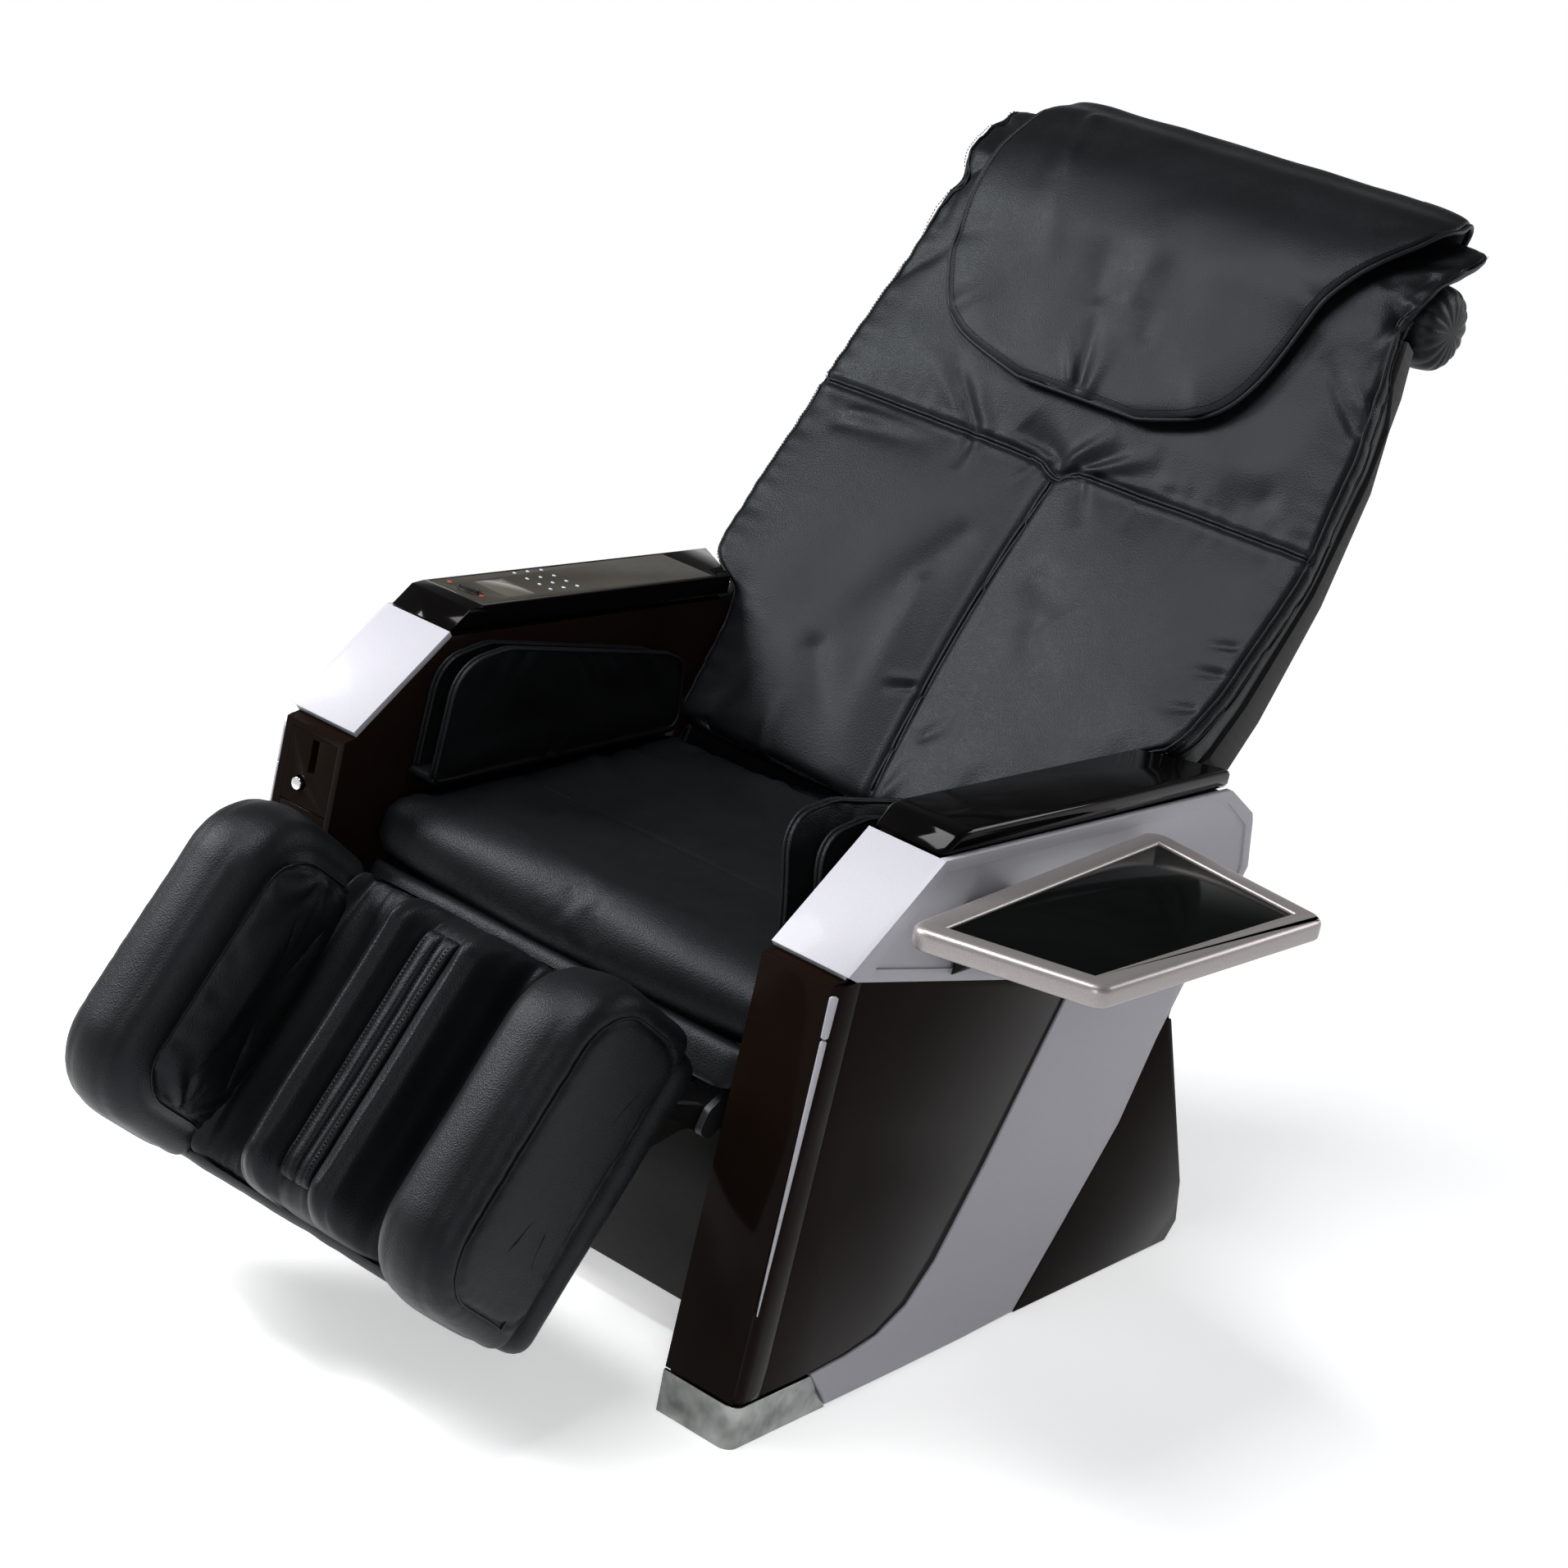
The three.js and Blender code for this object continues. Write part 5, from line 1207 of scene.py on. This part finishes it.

# %% [markdown]
# Behind the seat, leather closes the gap to the back. It is tucked into a fold, so that the back can recline.

# %% Fold the leather between the seat and the back
TUCK_PATH = [(128, 428), (142, 424), (154, 413), (165, 404), (176, 406), (184, 417), (189, 432), (191, 446)]
rings = []
for x in spread(-279, 279, 80):
    wave = 1.6 * noise.noise(Vector((x * 0.03, 0, 4)))
    path = [Vector((y, z + wave * sin(pi * i / 7))) for i, (y, z) in enumerate(TUCK_PATH)]
    above, below = [], []
    for i, p in enumerate(path):
        run = (path[min(7, i + 1)] - path[max(0, i - 1)]).normalized()
        out = Vector((-run.y, run.x)) * 2.5
        above.append(in_the_open(x, *(p + out)))
        below.append(in_the_open(x, *(p - out)))
    rings.append(above + below[::-1])
seat_tuck = skin("seat_tuck_leather", rings)
smoothed(seat_tuck)
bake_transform(seat_tuck)
print("tucked leather:", len(seat_tuck.data.polygons), "faces")

# %% [markdown]
# ## The skirt under the seat
# A leather apron hangs from the front of the seat and covers its pan. Its upper edge is a
# soft roll that catches the light, and its ends are rounded.

# %% Model the skirt
SKIRT_PATH = [(-309, 362), (-318, 366), (-327, 369), (-334, 367), (-339, 360), (-343, 351), (-347, 341),
              (-351, 330)]
SKIRT_HALF = 276
rings = []
for x in spread(-SKIRT_HALF, SKIRT_HALF, 100):
    reach = 0.3 + 0.7 * rounded_end(SKIRT_HALF - abs(x), 34)
    face = [Vector(SKIRT_PATH[0]).lerp(Vector(p), reach) for p in SKIRT_PATH]
    wave = 1.3 * noise.noise(Vector((x * 0.022, 0, 0))) + 0.6 * noise.noise(Vector((x * 0.06, 3, 0)))
    outer = [p + Vector((-0.6, 0.5)) * (0.4 + wave * i / 7) for i, p in enumerate(face)]
    inner = [p + Vector((0.62, -0.78)) * (5.2 - wave * i / 7) for i, p in enumerate(face)][::-1]
    rings.append([in_the_open(x, *p) for p in outer + inner])
seat_skirt = skin("seat_skirt_leather", rings)
smoothed(seat_skirt)
padded(seat_skirt, "seat_skirt")

# %% [markdown]
# ## The calf bolsters
# Two fat bolsters stand at the sides of the leg rest. A crowned band of leather runs around
# each, between two seams that lie just round the corner on its side faces. The outer face is
# tight; the inner one is slack, and bulges into the channel with folds at both ends.

# %% Helpers for the bolsters
CALF_SECTION = rounded_outline([[-274, 582, 10], [84, 582, 10], [84, 764, 84], [-274, 764, 76]], spacing=7)
OUTER_SEAM, INNER_SEAM = 23, 38


def leg_place(point):
    """A point in metres as (x, v, w) in millimetres."""
    return (point.x / MM, (point.y * cos(LEG_TILT) + point.z * sin(LEG_TILT)) / MM,
            (-point.y * sin(LEG_TILT) + point.z * cos(LEG_TILT)) / MM)


def middle_of(p):
    return Vector((max(-188, min(-2, p.x)), max(640, min(682, p.y))))


def inward(p, distance):
    """A point of the section moved towards its middle line, by up to 88 mm."""
    gap = middle_of(p) - p
    if p.y < 612:
        return p + gap * (distance / 88 * 0.97)
    return p + gap.normalized() * min(distance, gap.length * 0.97)


def inner_bulge(v, w):
    """How far the slack inner face stands out into the channel."""
    along = max(0, 1 - ((v + 96) / 158) ** 2) ** 0.6
    across = (w - 652) / (76 if w > 652 else 62)
    return 32 * along * max(0, 1 - across ** 2)


def end_folds(v, w, seed):
    """Folds that fan out from the two ends of the slack face."""
    total = 0
    for v0, w0 in ((46, 668), (-236, 664)):
        off = sqrt((v - v0) ** 2 + (w - w0) ** 2)
        turn = atan2(w - w0, v - v0)
        total += 6.5 * near(off - 26, 44) * noise.noise(Vector((turn * 2.9, off * 0.006, seed)))
    return total


# %% Model, fill and sew the calf bolsters
for side, name in ((1, "left"), (-1, "right")):
    rings = []
    for d in (88, 78, 68, 58, 48, 42, INNER_SEAM):
        face = [inward(p, d) for p in CALF_SECTION]
        rings.append([on_leg(side * (172 - inner_bulge(*q)), *q) for q in face])
    for a in spread(0.18, pi / 2, 8):
        turned = INNER_SEAM * (1 - sin(a))
        rings.append([on_leg(side * (172 + 32 * (1 - cos(a))), *inward(p, turned)) for p in CALF_SECTION])
    for x in spread(211, 240, 4):
        crown = 3.2 * (1 - ((x - 226) / 26) ** 2)
        rings.append([on_leg(side * x, *(inward(p, -crown) if p.y > 612 else p)) for p in CALF_SECTION])
    for a in spread(pi / 2, 0.18, 7):
        turned = OUTER_SEAM * (1 - sin(a))
        rings.append([on_leg(side * (271 - 25 * (1 - cos(a))), *inward(p, turned)) for p in CALF_SECTION])
    for d in (OUTER_SEAM, 27, 34, 44, 56, 68, 80, 88):
        plump = 5.5 * rounded_end(max(0, d - OUTER_SEAM), 55)
        rings.append([on_leg(side * (271 + plump), *inward(p, d)) for p in CALF_SECTION])
    bolster = skin(f"{name}_calf_bolster_leather", rings)

    def sewn_on_bolster(p):
        x, v, w = leg_place(p)
        return 1 if w < 590 else max(near(abs(x) - 270, 4), near(abs(x) - 172, 4)) * 0.9

    filled(bolster, sewn_on_bolster, cap=0.004)
    smoothed(bolster)

    def distance_in(v, w):
        here = Vector((v, w))
        rim = 84 if v > -2 or v < -188 or w > 682 else 60
        return rim - (here - middle_of(here)).length

    def bolster_creases(point, normal):
        x, v, w = leg_place(point)
        inset = distance_in(v, w)
        push = 1.1 * noise.noise(Vector((x * 0.02, v * 0.012, w * 0.012)))
        if w < 596:
            return 0
        if abs(normal.x) > 0.5 and normal.x * side > 0:
            push -= 2.2 * near(inset - OUTER_SEAM, 3.6)
            push += near(inset - OUTER_SEAM, 16) * 0.9 * noise.noise(Vector((v * 0.07, w * 0.07, 3)))
        elif normal.x * side < -0.2:
            push -= 2.4 * near(inset - INNER_SEAM, 3.6)
            if inset > INNER_SEAM:
                push += end_folds(v, w, side)
                push += 2.2 * near(inset - INNER_SEAM, 22) * noise.noise(Vector((v * 0.055, w * 0.055, 6)))
                push += 2.0 * noise.noise(Vector((v * 0.014, w * 0.03, 13)))
        else:
            push += near(abs(x) - 262, 12) * 0.8 * noise.noise(Vector((v * 0.06, w * 0.06, 4)))
            push += near(abs(x) - 178, 12) * 0.8 * noise.noise(Vector((v * 0.06, w * 0.06, 7)))
        return push * (1 - near(inset - 86, 10)) * MM

    pressed(bolster, bolster_creases)
    padded(bolster, f"{name}_calf_bolster")
    bolster_skin = tree_of(bolster)
    sewing = Sewing(f"{name}_calf_piping", "leg_rest")
    for inset, towards in ((OUTER_SEAM, -side), (INNER_SEAM, side)):
        seam = [inward(p, inset) for p in CALF_SECTION if p.y > 612]
        while seam[0].x > seam[-1].x and seam[0].y > seam[-1].y:
            seam = seam[1:] + seam[:1]
        line = [on_leg(side * (221 - towards * side * 49), *p) for p in seam]
        sewing.cord(laid(bolster_skin, line, Vector((towards, 0, 0)), 0.0005, 0.05), 0.0014)
    sewing.finish()
print("bolsters:", len(bolster.data.polygons), "faces each")

# %% [markdown]
# ## The calf lining and its stitched band
# Between the bolsters the leather lies over a low mound and falls into a channel on each
# side. It is gathered where it is pulled under at the top and at the bottom. A band of two
# stitched strips runs down the mound.

# %% Model the gathered lining
LINING_PROFILE = [[0, 652], [23, 652], [27, 664], [38, 682], [50, 686], [62, 676], [74, 646], [84, 620],
                  [96, 610], [130, 608], [155, 613], [169, 626]]
LINING_FOOT, LINING_HEAD, LINING_REAR, LINING_HALF = -261, 76, 580.4, 169


def lining_front(x, v):
    from_end = min(v - LINING_FOOT, LINING_HEAD - v)
    full = 0.3 + 0.7 * rounded_end(from_end, 40)
    front = LINING_REAR + 8 + (eased(LINING_PROFILE, abs(x)) - LINING_REAR - 8) * full
    gathered = near(from_end - 14, 40) * (0.35 if abs(x) < 24 else 1)
    folds = 6.0 * gathered * noise.noise(Vector((x * 0.062 + 0.004 * v, v * 0.009, 4 + (v > -90))))
    folds += 2.6 * gathered * noise.noise(Vector((x * 0.13, v * 0.012, 9)))
    slack = 2.0 * near(abs(x) - 100, 46) * noise.noise(Vector((x * 0.035, v * 0.011, 15)))
    mound = 1.6 * near(abs(x) - 50, 26) * noise.noise(Vector((x * 0.03, v * 0.016, 25)))
    return front + folds + slack + mound


rings = []
for v in spread(LINING_FOOT, LINING_HEAD, 96):
    front = [on_leg(x, v, lining_front(x, v)) for x in spread(-LINING_HALF, LINING_HALF, 124)]
    rear = [on_leg(x, v, 581.4) for x in spread(LINING_HALF, -LINING_HALF, 12)]
    rings.append(front + rear)
calf_lining = skin("calf_lining_leather", rings)
smoothed(calf_lining)
padded(calf_lining, "calf_lining")

# %% Model the stitched band
BAND_SIDE = [(0.045, 0.62), (0.09, 0.78), (0.2, 0.97), (0.34, 1.0), (0.5, 0.99), (0.56, 0.86), (0.62, 0.98),
             (0.78, 1.0), (0.9, 0.9), (0.97, 0.6), (1.0, 0.05)]
BAND_FOOT, BAND_HEAD, BAND_SEAT, BAND_HALF, BAND_RISE = -234, 48, 652.6, 22, 14
rings = []
for v in spread(BAND_FOOT, BAND_HEAD, 84):
    full = 0.3 + 0.7 * rounded_end(min(v - BAND_FOOT, BAND_HEAD - v), 30)
    sway = 2.2 * sin((v - BAND_FOOT) * 0.0111)
    wave = 0.7 * noise.noise(Vector((0, v * 0.03, 2)))
    section = [(-t, h) for t, h in BAND_SIDE[::-1]] + [(0, 0.5)] + BAND_SIDE
    rings.append([on_leg(t * BAND_HALF + sway * (1 - abs(t)), v, BAND_SEAT + (h * BAND_RISE + wave) * full)
                  for t, h in section])
calf_divider = skin("calf_divider_leather", rings)
smoothed(calf_divider)
padded(calf_divider, "calf_divider")
divider_skin = tree_of(calf_divider)
sewing = Sewing("divider_stitching", "leg_rest")
for x in (-15.5, -4.5, 4.5, 15.5):
    line = laid(divider_skin, [on_leg(x, v, 690) for v in range(-226, 42, 5)], -LEG_NORMAL, 0.0003)
    sewing.row(line, 0.0)
sewing.finish()

# %% [markdown]
# The leather of the leg rest is pulled round the edge of its shell and fixed behind it, so
# the edge shows as a soft roll.

# %% Wrap the edge of the leg shell
WRAP_LINE = rounded_outline([[-266, -262, 12], [266, -262, 12], [266, 59, 12], [-266, 59, 12]], steps=6, spacing=9)
WRAP_SECTION = [(-4, 556), (2.5, 555), (6, 561), (7.5, 572), (7, 583), (3, 592), (-6, 597), (-9, 588), (-9, 564)]
count = len(WRAP_LINE)
points, faces = [], []
for i, p in enumerate(WRAP_LINE):
    run = (WRAP_LINE[(i + 1) % count] - WRAP_LINE[i - 1]).normalized()
    out = Vector((run.y, -run.x))
    soft = 1 + 0.18 * noise.noise(Vector((p.x * 0.04, p.y * 0.04, 1)))
    points += [on_leg(*(p + out * d * soft), w) for d, w in WRAP_SECTION]
ring = len(WRAP_SECTION)
for i in range(count):
    j = (i + 1) % count
    faces += [(i * ring + k, i * ring + (k + 1) % ring, j * ring + (k + 1) % ring, j * ring + k)
              for k in range(ring)]
leg_wrap = mesh_piece("leg_rest_wrap", points, faces)
smoothed(leg_wrap)
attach(leg_wrap, "leg_rest")
print("wrapped edge:", len(leg_wrap.data.polygons), "faces")

# %% [markdown]
# ## The arm cuffs
# Each forearm slips between two leather leaves, which squeeze it when air goes in. A leaf is
# a flat bag: thick in the middle, thin at its double-piped edge, and pulled into folds that
# run down from the top. The leaves meet along the bottom, where they are gathered.

# %% Model the leaves
INNER_LEAF = [[-280, 456, 6], [126, 456, 16], [114, 540, 26], [84, 553, 30], [-196, 599, 60], [-268, 590, 46]]
OUTER_LEAF = [[-272, 454, 6], [126, 456, 16], [112, 536, 26], [78, 548, 30], [-190, 593, 56], [-262, 582, 42]]
LEAF_FOLDS = [((-74, 578), (-28, 512), 6, -3.2), ((-64, 578), (-20, 520), 5, 2.2), ((-47, 574), (-17, 517), 6, -2.8),
              ((-36, 574), (0, 520), 6, 2), ((30, 560), (86, 480), 9, -2.6), ((44, 556), (96, 492), 8, 2),
              ((-160, 590), (-200, 545), 12, -2.4), ((-200, 590), (-238, 520), 12, -2), ((-95, 458), (-100, 486), 6, -4),
              ((-84, 458), (-70, 482), 6, 2.5), ((-106, 458), (-124, 482), 6, 2.5), ((90, 545), (70, 500), 8, -2)]


def lean_in(q, lean):
    """The open leaves lean towards the sitter, most at their front upper corner."""
    return lean * (max(0, q.y - 456) / 140) ** 1.3 + lean * 0.3 * near(q.x + 280, 90)


def leaf(name, side, x_mid, thick, outline, lean):
    line = rounded_outline(outline, steps=10, spacing=7)
    centre = Vector((-90, 520))
    rings = []
    for face in (1, -1):
        for t in (0.1, 0.25, 0.4, 0.54, 0.66, 0.77, 0.86, 0.93, 0.975, 1.0)[::face]:
            half = thick / 2 * (0.3 + 0.7 * rounded_end(1 - t, 0.5))
            ring = []
            for p in line:
                q = centre.lerp(p, t)
                sag = 3.5 * near(q.y - 478, 20) * (1 - t ** 4)
                x = x_mid - lean_in(q, lean) + face * (half + sag)
                ring.append(in_the_open(side * x, q.x, q.y))
            rings.append(ring)
    piece = skin(name, rings)
    smoothed(piece)

    def leaf_creases(point, normal):
        y, z = point.y / MM, point.z / MM
        soft = 0.9 * noise.noise(Vector((y * 0.02, z * 0.03, side * 3 + x_mid)))
        return (ridges(y, z, LEAF_FOLDS) + soft) * MM if abs(normal.x) > 0.4 else 0

    pressed(piece, leaf_creases)
    return piece, line


for side, name, lean in ((1, "left", 34), (-1, "right", 3)):
    inner, inner_rim = leaf(f"{name}_cuff_inner_leaf", side, 251.2, 9.0, INNER_LEAF, lean)
    outer, outer_rim = leaf(f"{name}_cuff_outer_leaf", side, 284.8, 9.0, OUTER_LEAF, lean * 0.9)
    base = cross_skin(f"{name}_cuff_base", rounded_outline([[-280, 450, 4], [124, 450, 4], [124, 462, 4],
                                                           [-280, 462, 4]], spacing=8),
                      sorted((side * 247, side * 289)), in_the_open, 5, 0)
    smoothed(base)
    for piece in (inner, outer, base):
        stands_for(piece, f"{name}_arm_cuff")
    sewing = Sewing(f"{name}_cuff_piping", "root")
    for rim, x_mid, tilt in ((inner_rim, 251.2, lean), (outer_rim, 284.8, lean * 0.9)):
        for shift, shrink in ((-3.0, 0.996), (3.0, 0.996)):
            line = []
            for p in rim:
                q = Vector((-90, 520)).lerp(p, shrink)
                x = x_mid - lean_in(q, tilt) + shift
                line.append((in_the_open(side * x, *q), Vector((side, 0, 0))))
            sewing.cord(line, 0.0021, closed=True)
        upper = [(p - Vector((0, 0, 0.0065)), out) for p, out in line if p.z > 0.53]
        sewing.row(upper, 0.0, size=0.0006)
    sewing.finish()

# %% [markdown]
# ## The head flap and the bolster behind it
# The flap is a soft sheet of padding that hooks over the top of the back. Its front edge is
# a half circle with piping, its rear end hangs down behind. The bolster under it is a roll
# with its leather gathered into pleats at both ends.

# %% Model the head flap
FLAP_NEAR = [[0, 56], [2.5, 92], [8, 122], [20, 148], [36, 169], [60, 188], [102, 205], [150, 215], [196, 226], [240, 246],
             [272, 265], [328, 294], [364, 305], [400, 296], [520, 258]]
FLAP_FAR = [[0, 58], [2.5, 96], [6, 122], [12, 146], [20, 170], [28, 191], [45, 214], [70, 234], [122, 257], [182, 264],
            [267, 267], [310, 264], [351, 259], [400, 256], [520, 250]]
FLAP_THICK, FLAP_LIFT = 24, 9


def flap_centre():
    lying = [(s, max(back_front(x, s) for x in (0, 200, 280)) + FLAP_LIFT + FLAP_THICK / 2)
             for s in (988, 994, 1006, 1040, 1085, 1140, 1190, 1240, 1285, 1320)]
    over = [(1345, 122), (1360, 106), (1364, 92), (1356, 78)]
    hang = [(1352 - sin(BACK_TILT) * d, 70 - cos(BACK_TILT) * d) for d in (40, 80, 110, 118)]
    return [Vector(p) for p in lying + over + hang]


def catmull(points, spacing):
    ends = [points[0] * 2 - points[1]] + list(points) + [points[-1] * 2 - points[-2]]
    fine = []
    for i in range(1, len(ends) - 2):
        a, b, c, d = ends[i - 1:i + 3]
        for k in range(10):
            t = k / 10
            fine.append(0.5 * (2 * b + (c - a) * t + (2 * a - 5 * b + 4 * c - d) * t * t
                               + (3 * b - a - 3 * c + d) * t ** 3))
    return evenly(fine + [points[-1]], spacing)


def smooth_width(pairs, value):
    """Like eased, but with a slope that has no corners."""
    return sum(eased(pairs, value + shift) * weight
               for shift, weight in ((-16, 0.15), (-8, 0.2), (0, 0.3), (8, 0.2), (16, 0.15)))


path = catmull(flap_centre(), 7)
travelled = 0
total = sum((b - a).length for a, b in zip(path, path[1:]))
rings, flap_rim = [], []
for i, here in enumerate(path):
    if i:
        travelled += (here - path[i - 1]).length
    run = (path[min(len(path) - 1, i + 1)] - path[max(0, i - 1)]).normalized()
    out = Vector((-run.y, run.x))
    near_half, far_half = smooth_width(FLAP_NEAR, travelled), smooth_width(FLAP_FAR, travelled)
    from_end = min(travelled, total - travelled)
    thick = FLAP_THICK * (0.2 + 0.8 * rounded_end(from_end, 60))
    place = lambda x, lift: on_back(x, here.x + out.x * lift, here.y + out.y * lift)
    above, below = [], []
    for t in spread(-1, 1, 90):
        half = near_half if t > 0 else far_half
        side_thin = 0.2 + 0.8 * rounded_end((1 - abs(t)) * half, 60)
        wave = 1.2 * noise.noise(Vector((t * half * 0.012, travelled * 0.014, 31)))
        above.append(place(t * half, thick * 0.5 * side_thin + wave))
    for t in spread(0.97, -0.97, 24):
        half = near_half if t > 0 else far_half
        below.append(place(t * half, -thick * 0.5 * (0.2 + 0.8 * rounded_end((1 - abs(t)) * half, 60))))
    rings.append(above + below)
    flap_rim.append((place(-far_half, 0), place(near_half, 0)))
head_flap = skin("head_flap_leather", rings)
smoothed(head_flap)

# %% Fold and sew the flap
FLAP_FOLDS = [((-185, 1326), (-158, 1222), 15, 4), ((-170, 1262), (-114, 1118), 15, 3.5), ((-204, 1320), (-186, 1200), 14, -3),
              ((-6, 1003), (-27, 1094), 10, -5), ((-15, 1002), (-44, 1052), 8, 3.5), ((12, 1000), (10, 1066), 9, 3),
              ((7, 1126), (4, 1248), 26, 3.5), ((-40, 1110), (-60, 1180), 22, -3.5), ((44, 1080), (40, 1120), 16, -2.5),
              ((226, 1180), (150, 1210), 12, -2.5), ((-262, 1120), (-200, 1150), 14, -2.5), ((150, 1016), (120, 1070), 14, 2.5),
              ((-215, 1035), (-160, 1090), 14, 2.5), ((296, 1330), (230, 1290), 14, -3)]


def flap_creases(point, normal):
    x, s, n = back_place(point)
    if normal.dot(BACK_NORMAL) < 0.4 or n < 105:
        return 0
    soft = 1.4 * noise.noise(Vector((x * 0.014, s * 0.011, 17)))
    return (ridges(x, s, FLAP_FOLDS) + soft) * MM


pressed(head_flap, flap_creases)
padded(head_flap, "head_flap")
flap_skin = tree_of(head_flap)
sewing = Sewing("head_flap_piping", "back")
rim = evenly([p for p, _ in flap_rim][::-1] + [q for _, q in flap_rim], 0.006)
sewing.cord([(p, BACK_NORMAL) for p in rim], 0.0030)
middle = on_back(0, 1180, 180)
lying = [p for p in rim if back_place(p)[1] < 1325 and back_place(p)[2] > 105]
sewing.row(laid(flap_skin, [p + (middle - p).normalized() * 0.009 for p in lying], -BACK_NORMAL, 0.0003), 0.0)
sewing.finish()

# %% Model the bolster behind the head
ROLL_S, ROLL_N, ROLL_R, ROLL_HALF = 1237, 90, 51, 338
profile = [(14, 0.5), (28, 1.5), (39, 5), (46, 11), (49.6, 20)]
xs = [(-ROLL_HALF + d, r) for r, d in profile]
xs += [(x, ROLL_R - 0.4) for x in spread(-ROLL_HALF + 34, ROLL_HALF - 34, 60)]
xs += [(ROLL_HALF - d, r) for r, d in profile[::-1]]
rings = []
for x, r in xs:
    pleat_depth = 2.4 * near(ROLL_HALF - abs(x), 20)
    ring = []
    for a in spread(0, 2 * pi, 109)[:-1]:
        gather = 1 - abs(sin(a * 8 + 0.5 * sin(3 * a)))
        pleat = -pleat_depth * gather * min(1, r / 30)
        drawn = (1.6 * gather * near(r - 34, 16)) * (1 if x > 0 else -1) if r < 48 else 0
        ring.append(on_back(x - drawn, ROLL_S + (r + pleat) * cos(a), ROLL_N + (r + pleat) * sin(a)))
    rings.append(ring)
top_bolster = skin("top_bolster_leather", rings)
smoothed(top_bolster)
padded(top_bolster, "top_bolster")

# %% [markdown]
# ## The cover of the back
# Behind the cushion a moulded shell, covered in cloth, closes the back. Its shape is the
# CAD solid's; its edges are rounded, as cloth over a shell is.

# %% Cover the back shell
back_shell = dressed("back_shell", "back_shell_cover", back_cover, 6, segments=3, turn=24)
stands_for(back_shell, "back_shell")
